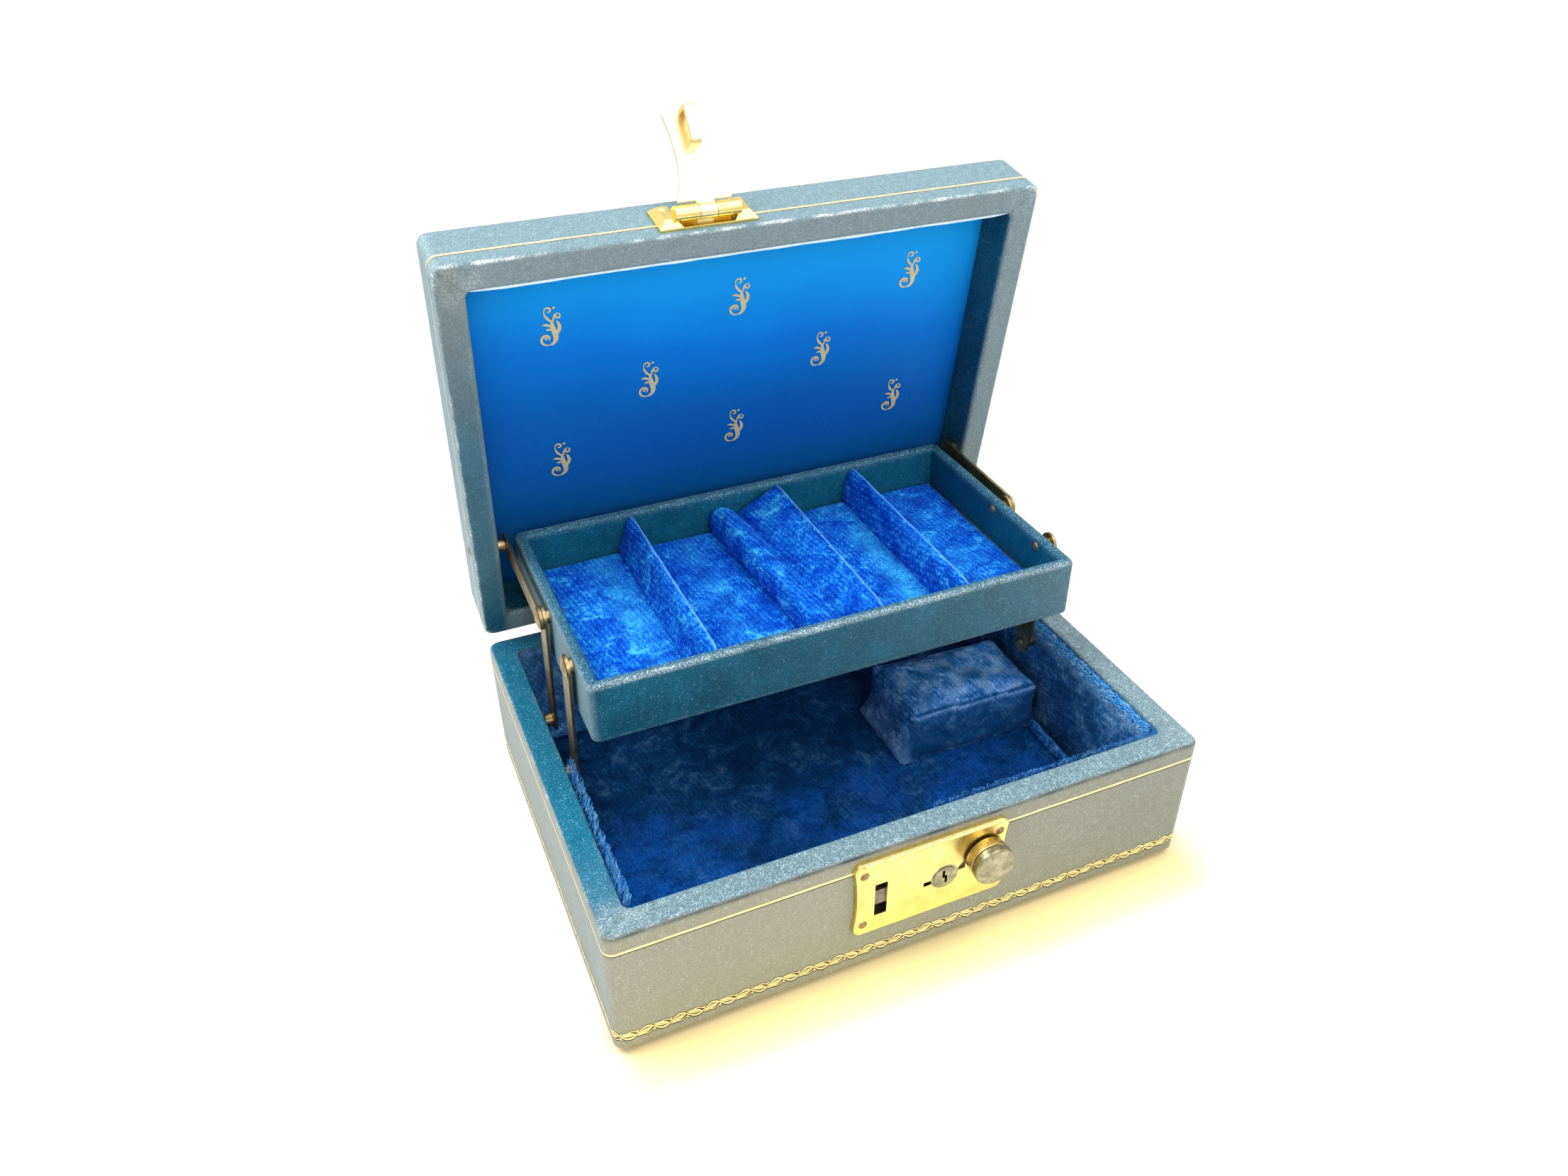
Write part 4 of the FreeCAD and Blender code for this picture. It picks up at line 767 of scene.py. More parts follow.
def swell(obj, voxel, cap):
    """Blows a pad up with cloth pressure, on an enlarged copy, and keeps the shape; a point moves by cap at most."""
    scene = bpy.context.scene
    old = obj.data
    before = places(old)
    keys = {name: np.array([v.value for v in old.attributes[name].data])
            for name in ("lit", "shade") if name in old.attributes}
    tree = kdtree.KDTree(len(before))
    for i, point in enumerate(before):
        tree.insert(point, i)
    tree.balance()
    data = old.copy()
    data.transform(Matrix.Scale(SWELL_SCALE, 4))
    sim = bpy.data.objects.new(obj.name + "_swell", data)
    scene.collection.objects.link(sim)
    remesh = sim.modifiers.new("remesh", "REMESH")
    remesh.mode = "VOXEL"
    remesh.voxel_size = SWELL_SCALE * voxel
    even = bpy.data.meshes.new_from_object(sim.evaluated_get(bpy.context.evaluated_depsgraph_get()))
    sim.modifiers.clear()
    sim.data = even
    start = places(even)
    held = sim.vertex_groups.new(name="held")
    held.add([int(i) for i in np.flatnonzero(start[:, 2] < start[:, 2].min() + 1.2 * SWELL_SCALE * voxel)], 1.0, "ADD")
    cloth = sim.modifiers.new("cloth", "CLOTH")
    cloth.settings.use_pressure = True
    cloth.settings.uniform_pressure_force = SWELL_PRESSURE
    cloth.settings.effector_weights.gravity = 0.0
    cloth.settings.vertex_group_mass = "held"
    cloth.point_cache.frame_start, cloth.point_cache.frame_end = 1, SWELL_FRAMES
    for number in range(1, SWELL_FRAMES + 1):
        scene.frame_set(number)
    after = places(sim.evaluated_get(bpy.context.evaluated_depsgraph_get()).data)
    push = after - start
    far = np.maximum(np.linalg.norm(push, axis=1, keepdims=True), 1e-9)
    final = (start + push * np.minimum(1.0, SWELL_SCALE * cap / far)) / SWELL_SCALE
    bpy.data.objects.remove(sim)
    scene.frame_set(1)
    even.vertices.foreach_set("co", final.astype(np.float32).ravel())
    even.update()
    even.materials.clear()
    even.materials.append(old.materials[0])
    nearest = [tree.find(point / SWELL_SCALE)[1] for point in start]
    for name, values in keys.items():
        even.attributes.new(name, "FLOAT", "POINT").data.foreach_set("value", values[nearest].astype(np.float32))
    even.polygons.foreach_set("use_smooth", [True] * len(even.polygons))
    obj.data = even


PLEAT_PITCH = 6.5 * MM
PLEAT_DEPTH, FLAT_DEPTH = 0.75, 0.28
LINING_ROWS = 22


def lining(name, low, high, material):
    """The velvet that lines the base's walls, with slanting pleats where it is pulled over the rim."""
    lit, shade, glow = [], [], []
    profile = [(RIM, z, MOUTH_CORNER) for z in spread(low, high, LINING_ROWS)]

    def shape(k, x, y, z, ox, oy, near):
        up = k / LINING_ROWS
        side = abs(ox) > 0.7
        slant = (y if side else x) + (z - low) * (0.9 if side else 0.3)
        pleat = 0.5 + 0.5 * math.sin(2 * math.pi * slant / PLEAT_PITCH + 2.0 * wobble(x, y, z, 20 * MM, 9.1))
        depth = (PLEAT_DEPTH if side else FLAT_DEPTH) * MM * (0.25 + 0.75 * up ** 2) * pleat
        depth += 0.45 * MM * max(0.0, wobble(x, y, z, 11 * MM, 3.9)) + 0.12 * MM
        depth *= 1.0 - 0.7 * up ** 14
        middle, half, least, shine = (0.875, 0.075, 0.5, 1.5) if ox > 0.5 else (0.95, 0.05, 0.3, 0.8)
        frill = min(1.0, 1.6 * max(0.0, 1 - abs(up - middle) / half))
        threads = wobble(x, y, 0.3 * z, 1.6 * MM, 4.4) + 0.35 * wobble(x, y, z, 7 * MM, 1.4)
        lit.append(min(1.0, frill * (least + 0.9 * max(0.0, threads)) * shine + 0.12 * (pleat > 0.72) * up ** 2))
        below = unit((0.82 - up) / 0.6)
        shade.append(max(0.0, ox) * 0.74 * below * (0.75 + 0.5 * wobble(x, y, z, 14 * MM, 2.1)))
        glow.append(max(0.0, ox) * unit((up - 0.78) / 0.1))
        return (x - ox * depth, y - oy * depth, z + 0.25 * MM * up * wobble(x, y, z, 5 * MM, 6.6))

    verts, faces, _ = swept(profile, HALF_X, HALF_Y, LINING_STEPS, LINE_BEND, 0.0, shape)
    obj = velvet_slot(piece(name, verts, faces, material, "base", CASE,
                            attributes={"lit": lit, "shade": shade, "glow": glow}))
    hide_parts("base_wall_lining")
    fray()


def fray():
    """Loose threads along the lining's cut edge, thick on the right wall and thin on the left and front ones."""
    # (start, end, way into the case, number of threads, lowest and highest place, how far they stand off)
    runs = [((HALF_X - RIM, -62 * MM), (HALF_X - RIM, 44 * MM), (-1, 0), 900, 42.6 * MM, 48.6 * MM, 1.1 * MM),
            ((-HALF_X + RIM, -62 * MM), (-HALF_X + RIM, 4 * MM), (1, 0), 420, 41.5 * MM, 49.4 * MM, 2.4 * MM),
            ((6 * MM, -HALF_Y + RIM), (91 * MM, -HALF_Y + RIM), (0, 1), 420, 46.5 * MM, 49.4 * MM, 1.4 * MM)]
    verts, faces = [], []
    pick = np.random.default_rng(41)
    for (ax, ay), (bx, by), (ix, iy), count, low, high, lean in runs:
        long = math.hypot(bx - ax, by - ay)
        tx, ty = (bx - ax) / long, (by - ay) / long
        for _ in range(count):
            s = pick.uniform(0.02, 0.98) * long
            z = BASE_LOW + low + (high - low) * pick.beta(2.0, 1.3)
            reach = pick.uniform(1.2, 4.6) * MM
            slope = math.radians(pick.normal(-28 if ix < 0 else 62, 24))
            bow = pick.normal(0.0, 0.5) * MM
            wide = pick.uniform(0.11, 0.27) * MM
            off = 0.35 * MM + pick.uniform(0.0, 1.0) * lean
            start = len(verts)
            for t in spread(0, 1, 5):
                along = s + reach * (t - 0.5) * math.cos(slope) + bow * hump(t)
                along = min(long, max(0.0, along))
                up = min(BASE_TOP - 0.6 * MM, z + reach * (t - 0.5) * math.sin(slope))
                out = off + (0.35 * MM + 0.5 * lean * t) * hump(0.15 + 0.7 * t)
                w = wide * (0.35 + 0.65 * hump(0.1 + 0.8 * t))
                x, y = ax + tx * along + ix * out, ay + ty * along + iy * out
                verts.append((x - ix * w * 0.4, y - iy * w * 0.4, up + w))
                verts.append((x + ix * w * 0.4, y + iy * w * 0.4, up - w))
            faces += [(a, a + 1, a + 3, a + 2) for a in range(start, len(verts) - 2, 2)]
    obj = piece("lining_fray", verts, faces, mat_fray, "base", CASE)
    return obj


lining("base_lining", BASE_LOW + 3.2 * MM, BASE_TOP - 1.0 * MM, mat_lining_velvet)


EDGE_DROP = 0.55


def pad(name, x0, x1, y0, y1, z0, top, glow_at, count, round_over, material, body, place):
    """A closed pad: top(x, y) gives its surface, which rolls down at the edges."""
    nx, ny = count
    verts, faces = [], []
    for x in spread(x0, x1, nx):
        for y in spread(y0, y1, ny):
            roll = max(0.0, 1.0 - min(x - x0, x1 - x, y - y0, y1 - y) / round_over)
            z = top(x, y)
            verts.append((x, y, z - (z - z0) * EDGE_DROP * roll ** 2))
    total = len(verts)
    verts += [(x, y, z0) for x, y, _ in verts]

    def index(i, j):
        return i * (ny + 1) + j

    for i in range(nx):
        for j in range(ny):
            a, b, c, d = index(i, j), index(i + 1, j), index(i + 1, j + 1), index(i, j + 1)
            faces += [(a, b, c, d), (a + total, d + total, c + total, b + total)]
    rim = [index(i, 0) for i in range(nx)] + [index(nx, j) for j in range(ny)]
    rim += [index(i, ny) for i in range(nx, 0, -1)] + [index(0, j) for j in range(ny, 0, -1)]
    for a, b in zip(rim, rim[1:] + rim[:1]):
        faces.append((a, a + total, b + total, b))
    glow = [unit(glow_at(x, y)) for x, y, _ in verts]
    return piece(name, verts, faces, material, body, place, attributes={"glow": glow})


def floor_top(x, y):
    """The uneven surface of the base's floor."""
    return FLOOR - 0.3 * MM + 0.45 * MM * wobble(x, y, 0, 24 * MM, 8.8) + 0.2 * MM * wobble(x, y, 0, 7 * MM, 2.4)


def floor_glow(x, y):
    """Painted light: clearer blue pile over the front part of the floor and along the left wall."""
    front = unit((12 * MM - y) / (18 * MM)) * (0.62 + 0.9 * wobble(x, y, 0, 13 * MM, 6.4))
    left = unit((-48 * MM - x) / (20 * MM)) * unit((26 * MM - y) / (24 * MM))
    return 0.8 * front + 0.55 * left * (0.7 + 0.9 * wobble(x, y, 0, 10 * MM, 3.5))


low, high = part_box("base_floor_pad")
base_pad = velvet_slot(pad("base_velvet_floor", low.x, high.x, low.y - CASE_Y, high.y - CASE_Y, low.z + 0.1 * MM,
                           floor_top, floor_glow, (110, 80), 3 * MM, mat_base_velvet, "base", CASE))
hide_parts("base_floor_pad")


def tray_top(x, y):
    """The uneven surface of the tray's floor."""
    return TRAY_FLOOR - 0.2 * MM + 0.5 * MM * wobble(x, y, 0, 17 * MM, 1.1) + 0.25 * MM * wobble(x, y, 0, 6 * MM, 5.2)


def tray_glow(x, y):
    """Painted sheen: pale streaks on the pile beside the feet of the dividers."""
    streak = 0.0
    for middle, wide, share in ((-57, 5.0, 0.65), (-25, 4.5, 0.3), (37, 5.0, 0.85), (62, 9.0, 0.15)):
        streak += share * math.exp(-((x / MM - middle) / wide) ** 2)
    return streak * (0.62 + 1.1 * wobble(x, y, 0, 12 * MM, 7.7))


low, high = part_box("tray_floor_pad")
tray_pad = velvet_slot(pad("tray_velvet_floor", low.x, high.x, low.y - CASE_Y, high.y - CASE_Y, low.z + 0.1 * MM,
                           tray_top, tray_glow, (120, 66), 3 * MM, mat_tray_velvet, "tray", CASE))
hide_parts("tray_floor_pad")


def strip_piece(name, section_at, y0, y1, count, material, body, end_tuck, wave, crest=None):
    """A padded strip: a closed cross-section run along Y, with soft ends and an uneven surface."""
    verts, lit = [], []
    n = len(section_at(0.0))
    for i, y in enumerate(spread(y0, y1, count)):
        section = section_at(i / count)
        tuck = min(1.0, min(i, count - i) / 3.0)
        squeeze = 1.0 - end_tuck * (1 - tuck)
        middle = sum(p[0] for p in section) / n
        foot = min(p[1] for p in section)
        for x, z in section:
            up = z - foot
            dx = wave * wobble(x, y, z, 8 * MM, 3.0) + 0.4 * wave * wobble(x, y, z, 3 * MM, 6.0)
            dz = wave * wobble(x, y, z, 10 * MM, 8.0) * min(1.0, up / (3 * MM))
            near = 0.0 if crest is None else max(0.0, 1 - math.hypot(x - crest[0], z - crest[1]) / (0.85 * MM))
            lit.append(near)
            calm = 1.0 - 0.85 * near
            verts.append((middle + (x - middle) * squeeze + (dx * calm if up > 0.3 * MM else 0.0), y,
                          foot + up * squeeze + dz * calm))
    return piece(name, verts, tube_faces(count + 1, n, flip=True), material, body, CASE, attributes={"lit": lit})


def smooth_section(corners, count):
    """A closed outline through the corners, rounded by cutting them count times."""
    points = list(corners)
    for _ in range(count):
        finer = []
        for a, b in zip(points, points[1:] + points[:1]):
            finer.append((a[0] * 0.75 + b[0] * 0.25, a[1] * 0.75 + b[1] * 0.25))
            finer.append((a[0] * 0.25 + b[0] * 0.75, a[1] * 0.25 + b[1] * 0.75))
        points = finer
    return points


def divider(name, node, spread_left):
    """A card upright in velvet: a crisp fold along one side of its top, sloping down to a soft foot on the other."""
    low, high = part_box(node)
    x = (low.x + high.x) / 2
    z = low.z - 0.3 * MM
    top = high.z
    rise = top - z
    left = spread_left * MM
    corners = [(x - left, z), (x + 2.3 * MM, z), (x + 1.9 * MM, z + 0.12 * rise), (x + 1.7 * MM, z + 0.5 * rise),
               (x + 1.65 * MM, z + 0.86 * rise), (x + 1.62 * MM, top + 0.1 * MM), (x + 1.2 * MM, top + 0.25 * MM),
               (x + 0.2 * MM, top - 0.1 * MM), (x - 1.5 * MM, top - 1.9 * MM),
               (x - 1.9 * MM - 0.15 * left, z + 0.55 * rise), (x - 0.75 * left, z + 0.20 * rise)]
    section = smooth_section(corners, 2)
    obj = strip_piece(name, lambda t: section, low.y - CASE_Y, high.y - CASE_Y, 80, mat_tray_velvet, "tray", 0.05,
                      0.34 * MM, (x + 1.4 * MM, top))
    velvet_slot(obj)
    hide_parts(node)


divider("divider_left_velvet", "tray_divider_left", 5.6)
divider("divider_middle_velvet", "tray_divider_middle", 3.4)
divider("divider_right_velvet", "tray_divider_right", 3.6)


def ring_holder():
    """Two rolls with a ring slit between them, set askew; the right one leans up on the divider."""
    low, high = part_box("ring_roll")
    wall_low, wall_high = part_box("tray_divider_middle")
    z = low.z - 0.3 * MM
    crest_x = (wall_low.x + wall_high.x) / 2 + 0.2 * MM
    crest_z = wall_high.z - 0.1 * MM

    def section_at(t):
        x0 = low.x + (2.2 - 5.6 * t) * MM
        slit = x0 + (12.6 - 1.6 * t) * MM
        high_roll = (8.0 + 2.4 * t) * MM
        corners = [(x0 + 0.5 * MM, z), (crest_x, z), (crest_x + 0.2 * MM, z + 6 * MM),
                   (crest_x + 0.1 * MM, crest_z - 0.8 * MM), (crest_x - 0.6 * MM, crest_z + 0.1 * MM),
                   (crest_x - 2.0 * MM, crest_z - 0.9 * MM), ((slit + crest_x) / 2 + 0.5 * MM, z + 10.0 * MM),
                   (slit + 2.2 * MM, z + 7.6 * MM), (slit + 0.4 * MM, z + 4.2 * MM), (slit - 0.5 * MM, z + 4.2 * MM),
                   (slit - 1.6 * MM, z + 0.72 * high_roll), (slit - 4.2 * MM, z + 0.92 * high_roll),
                   (x0 + 3.0 * MM, z + 1.04 * high_roll), (x0 + 0.2 * MM, z + 0.86 * high_roll),
                   (x0 - 0.4 * MM, z + 0.5 * high_roll), (x0 + 0.3 * MM, z + 2.0 * MM)]
        return smooth_section(corners, 2)

    obj = strip_piece("ring_roll_velvet", section_at, low.y - CASE_Y, high.y - CASE_Y, 90, mat_tray_velvet, "tray",
                      0.08, 0.75 * MM)
    velvet_slot(obj)
    swell(obj, 0.8 * MM, 0.7 * MM)
    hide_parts("ring_roll")


ring_holder()


BRIDGE_CROWN = 2.4 * MM
BRIDGE_ROWS, CROWN_ROWS = 22, 14


def bridge():
    """The padded watch bridge: hollow flared ends, a front drawn in under a crisp fold, and a crowned top."""
    low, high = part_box("watch_bridge")
    x0, x1 = low.x, high.x
    y0, y1 = low.y - CASE_Y, high.y - CASE_Y
    z0, z1 = low.z - 0.2 * MM, high.z
    verts, lit, shade = [], [], []
    half_x, half_y = (x1 - x0) / 2, (y1 - y0) / 2
    cx, cy = (x0 + x1) / 2, (y0 + y1) / 2
    ring = loop(half_x, half_y, 2.6 * MM, (40, 60), 6)
    n = len(ring)
    for v in spread(0, 1, BRIDGE_ROWS):
        for x, y, ox, oy, _ in ring:
            tilt = (0.9 - 3.0 * (x + half_x) / (2 * half_x)) * MM
            z = z0 + (z1 + tilt - z0 - BRIDGE_CROWN) * v
            left, right, front, back = max(0.0, -ox) ** 1.5, max(0.0, ox), max(0.0, -oy), max(0.0, oy)
            draw = left * (1.6 * MM - 4.6 * MM * (1 - v) ** 2.4) + right * 1.2 * MM * hump(v)
            draw += front * (0.9 * MM * v + 0.8 * MM * hump(v)) + back * 1.2 * MM * hump(v)
            draw += 1.1 * MM * max(0.0, (v - 0.86) / 0.14) ** 2
            ruck = 0.75 * MM * wobble(x, y, z, 5 * MM, 2.8) + 0.4 * MM * wobble(x, y, z, 2.4 * MM, 6.1)
            ruck = ruck * (1 - v ** 6) * (1 - 0.7 * left)
            verts.append((cx + x - ox * (draw + ruck), cy + y - oy * (draw + ruck), z))
            edge = max(0.0, 1 - abs(v - 0.95) / 0.05)
            flare = left * (0.55 * max(0.0, wobble(x, y, z, 3.5 * MM, 1.3)) + 0.45 * (1 - v) ** 3)
            broken = 0.4 + 0.6 * max(0.0, wobble(x, y, 0, 12 * MM, 2.6) + 0.4)
            lit.append(min(1.0, 0.75 * edge * front * broken + flare + 0.5 * front * max(0.0, 1 - v * 12) * broken))
            shade.append(min(0.85, (0.78 * max(front, right) + 0.35 * left) * (1.0 - edge)))
    for t in spread(0, 1, CROWN_ROWS)[1:]:
        for bx, by, bz in verts[BRIDGE_ROWS * n:(BRIDGE_ROWS + 1) * n]:
            shrink = 1.0 - 0.97 * t
            x, y = cx + (bx - cx) * shrink, cy + (by - cy) * shrink
            rise = BRIDGE_CROWN * (1 - (1 - t) ** 3.2)
            verts.append((x, y, bz + rise + 0.4 * MM * wobble(x, y, 0, 8 * MM, 4.4) * t))
            lit.append(max(0.0, 0.16 + 0.85 * wobble(x, y, 0, 5 * MM, 9.4)))
            shade.append(0.0)
    faces = tube_faces(BRIDGE_ROWS + CROWN_ROWS + 1, n)
    obj = velvet_slot(piece("watch_bridge_velvet", verts, faces, mat_bridge_velvet, "base", CASE,
                            attributes={"lit": lit, "shade": shade}))
    swell(obj, 1.0 * MM, 0.9 * MM)
    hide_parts("watch_bridge")


bridge()


def ridge():
    """The low padded ridge on the base's floor."""
    low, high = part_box("base_ridge")
    x0, x1, z0, z1 = low.x, high.x, low.z - 0.2 * MM, high.z
    corners = [(x0, z0), (x1, z0), (x1 - 0.1 * MM, z0 + 0.6 * (z1 - z0)), (x1 - 0.6 * MM, z1 + 0.2 * MM),
               (x0 + 0.6 * MM, z1 + 0.2 * MM), (x0 + 0.1 * MM, z0 + 0.6 * (z1 - z0))]
    section = smooth_section(corners, 2)
    obj = strip_piece("base_ridge_velvet", lambda t: section, low.y - CASE_Y, high.y - CASE_Y, 40, mat_bridge_velvet,
                      "base", 0.2, 0.35 * MM)
    velvet_slot(obj)
    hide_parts("base_ridge")


ridge()


# Satin panel and its gold scrolls
def satin_panel():
    """The satin over the lid's card, rolled back to it at the edges."""
    x, y = HALF_X - RIM - 0.1 * MM, HALF_Y - RIM - 0.1 * MM
    nx, ny = 96, 70  # squares across and along
    verts, faces = [], []
    for px in spread(-x, x, nx):
        for py in spread(-y, y, ny):
            roll = max(0.0, 1.0 - min(x - abs(px), y - abs(py)) / (3.0 * MM)) ** 2
            verts.append((px, py, SATIN + 1.0 * MM * roll + 0.10 * MM * wobble(px, py, 0, 30 * MM, 3.7)))
    for i in range(nx):
        for j in range(ny):
            a = i * (ny + 1) + j
            faces.append((a, a + 1, a + ny + 2, a + ny + 1))
    obj = piece("lid_satin", verts, faces, mat_satin, "lid", LID)
    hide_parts("lid_satin_pad")


satin_panel()


def satin_welt():
    """The rolled edge of the satin lining where it is glued inside the lid's front rim, pale with a painted highlight.
    """
    y = -(HALF_Y - RIM) + 0.45 * MM
    verts = []
    count, around = 120, 8
    for i in range(count + 1):
        x = (HALF_X - RIM - 1.2 * MM) * (2 * i / count - 1)
        thick = 0.55 * MM * (1 + 0.35 * wobble(x, 0, 0, 9 * MM, 4.2)) * min(1.0, 0.25 + min(i, count - i) / 5)
        for j in range(around):
            a = 2 * math.pi * j / around
            verts.append((x, y + thick * math.cos(a) + 0.18 * MM * wobble(x, 0, 0, 22 * MM, 1.9),
                          LID_RIM + 1.15 * MM + thick * math.sin(a)))
    obj = piece("lid_satin_welt", verts, tube_faces(count + 1, around, flip=True), mat_welt_highlight, "lid", LID)


mat_welt_highlight = fibre_board("satin_welt", (0.80, 0.88, 0.86), (0.50, 0.72, 0.80), 0.8 * MM)
satin_welt()


def curl(cx, cy, r0, r1, a0, a1, count=22):
    """A spiral, with its angles in degrees."""
    points = []
    for t in spread(0, 1, count):
        r = r0 + (r1 - r0) * t ** 0.8
        a = math.radians(a0 + (a1 - a0) * t)
        points.append((cx + r * math.cos(a), cy + r * math.sin(a)))
    return points


def curve(a, b, c, d, count=18):
    """A cubic Bezier curve."""
    points = []
    for t in spread(0, 1, count):
        s = 1 - t
        points.append(tuple(s ** 3 * a[k] + 3 * s * s * t * b[k] + 3 * s * t * t * c[k] + t ** 3 * d[k]
                            for k in (0, 1)))
    return points


def scroll_strokes():
    """A plain acanthus sprig in a box one wide and two high: strokes of (points, broadest width)."""
    return [
        (curve((0.46, 0.10), (0.98, 0.34), (0.42, 0.86), (0.60, 1.22)), 0.23),
        (curve((0.66, 0.52), (0.92, 0.70), (0.90, 0.98), (0.74, 1.16)), 0.15),
        (curl(0.30, 0.38, 0.30, 0.10, -60, -400), 0.11),
        (curl(0.29, 0.40, 0.05, 0.01, 0, 340, 10), 0.10),
        (curve((0.56, 0.72), (0.46, 0.84), (0.36, 0.82), (0.30, 0.76)), 0.09),
        (curve((0.52, 0.90), (0.40, 1.02), (0.30, 1.06), (0.16, 1.02)), 0.11),
        (curve((0.58, 1.10), (0.44, 1.24), (0.28, 1.36), (0.27, 1.60)), 0.11),
        (curl(0.43, 1.66, 0.17, 0.05, 200, -150), 0.085),
        (curve((0.61, 1.16), (0.66, 1.36), (0.70, 1.46), (0.80, 1.50)), 0.11),
        (curl(0.80, 1.36, 0.14, 0.04, 90, -220), 0.085),
        (curl(0.68, 1.74, 0.05, 0.01, 0, 340, 10), 0.08),
    ]


SCROLL_WIDE, SCROLL_TALL = 8.0 * MM, 16.0 * MM
SCROLL_LIFT, SCROLL_CROWN = 0.22 * MM, 0.06 * MM
# Rows of (distance from the hinge side, places across), in millimetres
SCROLL_ROWS = [(115, (-65, 0, 65)), (88.5, (-32.5, 32.5)), (62, (-65, 0, 65))]


def scrolls():
    """The gold sprigs printed on the satin."""
    verts, faces = [], []
    for u, xs in SCROLL_ROWS:
        for x in xs:
            left = x * MM - SCROLL_WIDE / 2
            top = HALF_Y - u * MM - SCROLL_TALL / 2
            for points, broad in scroll_strokes():
                start = len(verts)
                last = len(points) - 1
                widths = [broad * (0.28 + 0.72 * hump(min(0.97, i / last * 0.94 + 0.05))) for i in range(last + 1)]
                for row in ribbon_rows(points, widths):
                    for (sx, sy), rise in zip(reversed(row), (0.0, SCROLL_CROWN, 0.0)):
                        verts.append((left + sx * SCROLL_WIDE, top + SCROLL_TALL - sy / 2.0 * SCROLL_TALL,
                                      SATIN - SCROLL_LIFT - rise))
                for a in range(start, len(verts) - 3, 3):
                    faces += [(a, a + 3, a + 4, a + 1), (a + 1, a + 4, a + 5, a + 2)]
    obj = piece("lid_scrolls", verts, faces, mat_scroll, "lid", LID)


scrolls()

# Smooth shading on the metal
SMOOTH_ANGLE = math.radians(32)
for name in ("lock_plate", "hasp_block", "hasp_tongue", "hasp_staple", "knob_barrel", "knob_cap", "knob_stem",
             "lock_nails", "hasp_nails", "tray_rivets", "base_arm_rivets", "lid_link_rivets", "hinge_base_nails",
             "hinge_lid_nails", "feet"):
    obj = nodes[name]
    with bpy.context.temp_override(object=obj, active_object=obj, selected_editable_objects=[obj],
                                   selected_objects=[obj]):
        bpy.ops.object.shade_smooth_by_angle(angle=SMOOTH_ANGLE)


# Floor, light and camera
def seen_rays(tree):
    """One for rays from the camera, off gloss or through glass: these see a white background."""
    path = tree.nodes.new("ShaderNodeLightPath")
    seen = path.outputs["Is Camera Ray"]
    for ray in ("Is Glossy Ray", "Is Transmission Ray"):
        either = tree.nodes.new("ShaderNodeMath")
        either.operation = "MAXIMUM"
        tree.links.new(seen, either.inputs[0])
        tree.links.new(path.outputs[ray], either.inputs[1])
        seen = either.outputs[0]
    return seen


WHITE = (1, 1, 1, 1)
FLOOR_WHITE = (0.93, 0.93, 0.93)
FLOOR_HALF = 3.0


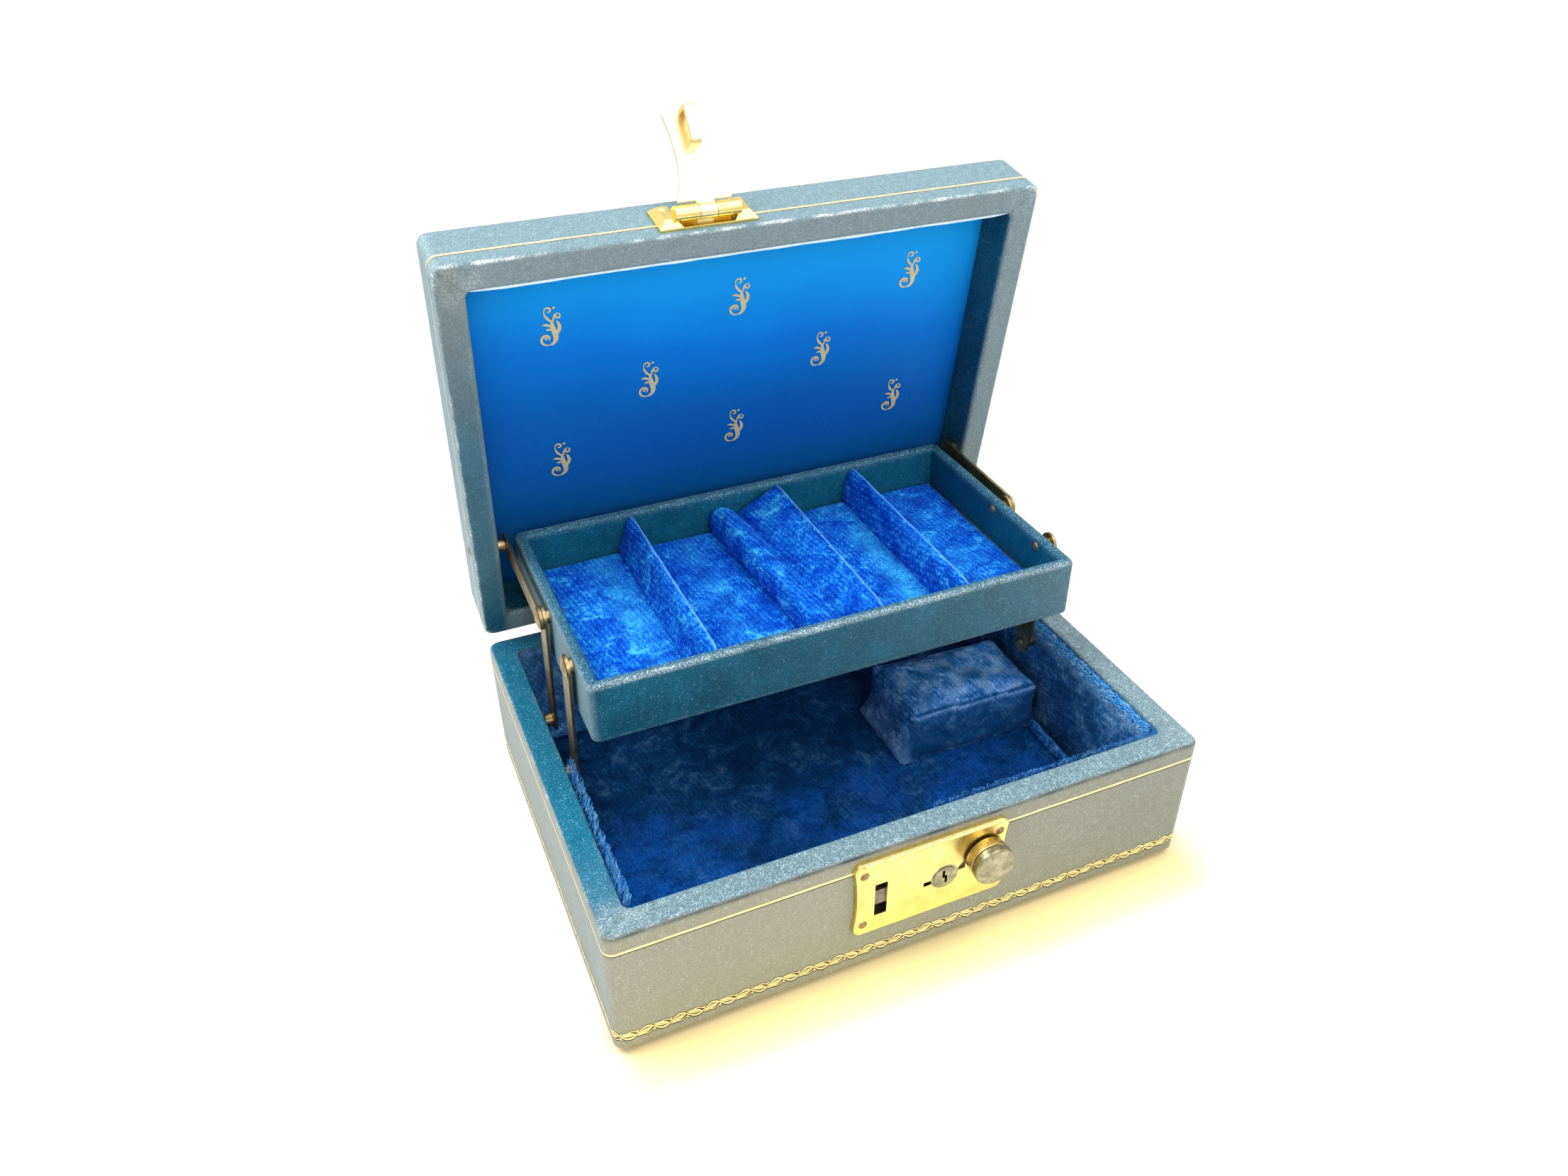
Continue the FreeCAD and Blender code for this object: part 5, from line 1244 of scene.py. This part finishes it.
def stage_floor():
    """A white floor with a painted pool of warm light low in front of the case, white far out."""
    data = bpy.data.meshes.new("floor")
    corners = [(sx * FLOOR_HALF, sy * FLOOR_HALF, 0) for sx, sy in ((-1, -1), (1, -1), (1, 1), (-1, 1))]
    data.from_pydata(corners, [], [(0, 1, 2, 3)])
    m = Maker("floor_white")
    edge = CASE_Y - HALF_Y
    along = m.times(m.grade(m.axis("X"), -0.114, -0.096), m.grade(m.axis("X"), 0.116, 0.100))
    here = m.times(along, m.grade(m.axis("Y"), edge + 0.022, edge + 0.004))
    # painted pool of warm light on the floor in front of the case
    warm = m.ramp(m.grade(m.axis("Y"), edge, edge - 0.030),
                  [(0.0, (1.0, 0.80, 0.42)), (0.2, (1.0, 0.92, 0.44)), (0.45, (1.0, 1.0, 0.52)),
                   (0.7, (0.97, 0.97, 0.76)), (1.0, FLOOR_WHITE)])
    m.set(Base_Color=m.mix(here, FLOOR_WHITE, warm), Roughness=0.7, Specular_IOR_Level=0.1)
    far = m.times(m.grade(m.length(), 0.17, 0.34), seen_rays(m.tree))
    glow = m.node("Emission", 0, Color=WHITE)
    surface = m.join(m.node("MixShader", 0), (far, m.shader.outputs[0], glow))
    m.feed(m.tree.nodes["Material Output"].inputs["Surface"], surface)
    data.materials.append(m.material)
    obj = bpy.data.objects.new("floor", data)
    bpy.context.scene.collection.objects.link(obj)
    obj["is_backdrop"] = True


stage_floor()


def world_light():
    """A world that is white where it is seen and dimmer as a light."""
    world = bpy.data.worlds.new("studio")
    bpy.context.scene.world = world
    world.use_nodes = True
    tree = world.node_tree
    back = tree.nodes["Background"]
    back.inputs["Color"].default_value = WHITE
    level = tree.nodes.new("ShaderNodeMapRange")
    level.inputs["To Min"].default_value = 0.62
    level.inputs["To Max"].default_value = 1.0
    tree.links.new(seen_rays(tree), level.inputs["Value"])
    tree.links.new(level.outputs["Result"], back.inputs["Strength"])


world_light()


def area(name, place, target, size, power):
    """A round lamp at a place, turned to a target."""
    lamp = bpy.data.lights.new(name, "AREA")
    lamp.shape = "DISK"
    lamp.size = size
    lamp.energy = power
    obj = bpy.data.objects.new(name, lamp)
    bpy.context.scene.collection.objects.link(obj)
    obj.location = place
    obj.rotation_euler = (Vector(target) - Vector(place)).to_track_quat("-Z", "Y").to_euler()


area("key", (-0.55, 0.25, 0.95), (0, 0, 0.06), 0.7, 10.0)
area("top", (0.35, -0.25, 1.1), (0, 0, 0.06), 0.9, 6.0)
area("fill", (0.05, -0.85, 0.62), (0, 0, 0.04), 0.6, 4.0)


def photo_camera():
    """The photograph's camera, solved from the case's edges."""
    data = bpy.data.cameras.new("photo")
    data.sensor_fit = "HORIZONTAL"
    data.sensor_width = 36.0
    data.lens = 27.24
    obj = bpy.data.objects.new("photo", data)
    bpy.context.scene.collection.objects.link(obj)
    right = Vector((0.916532, -0.399945, -0.003764))
    down = Vector((-0.227933, -0.514561, -0.826604))
    ahead = Vector((0.328659, 0.758466, -0.562772))
    turn = Matrix((right, -down, -ahead)).transposed().to_4x4()
    spot = Vector((-0.140087, -0.28862 + CASE_Y, 0.310045 + BASE_LOW))
    obj.matrix_world = Matrix.Translation(spot) @ turn
    bpy.context.scene.camera = obj


photo_camera()
bpy.context.scene.view_settings.view_transform = "Standard"

low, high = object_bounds()
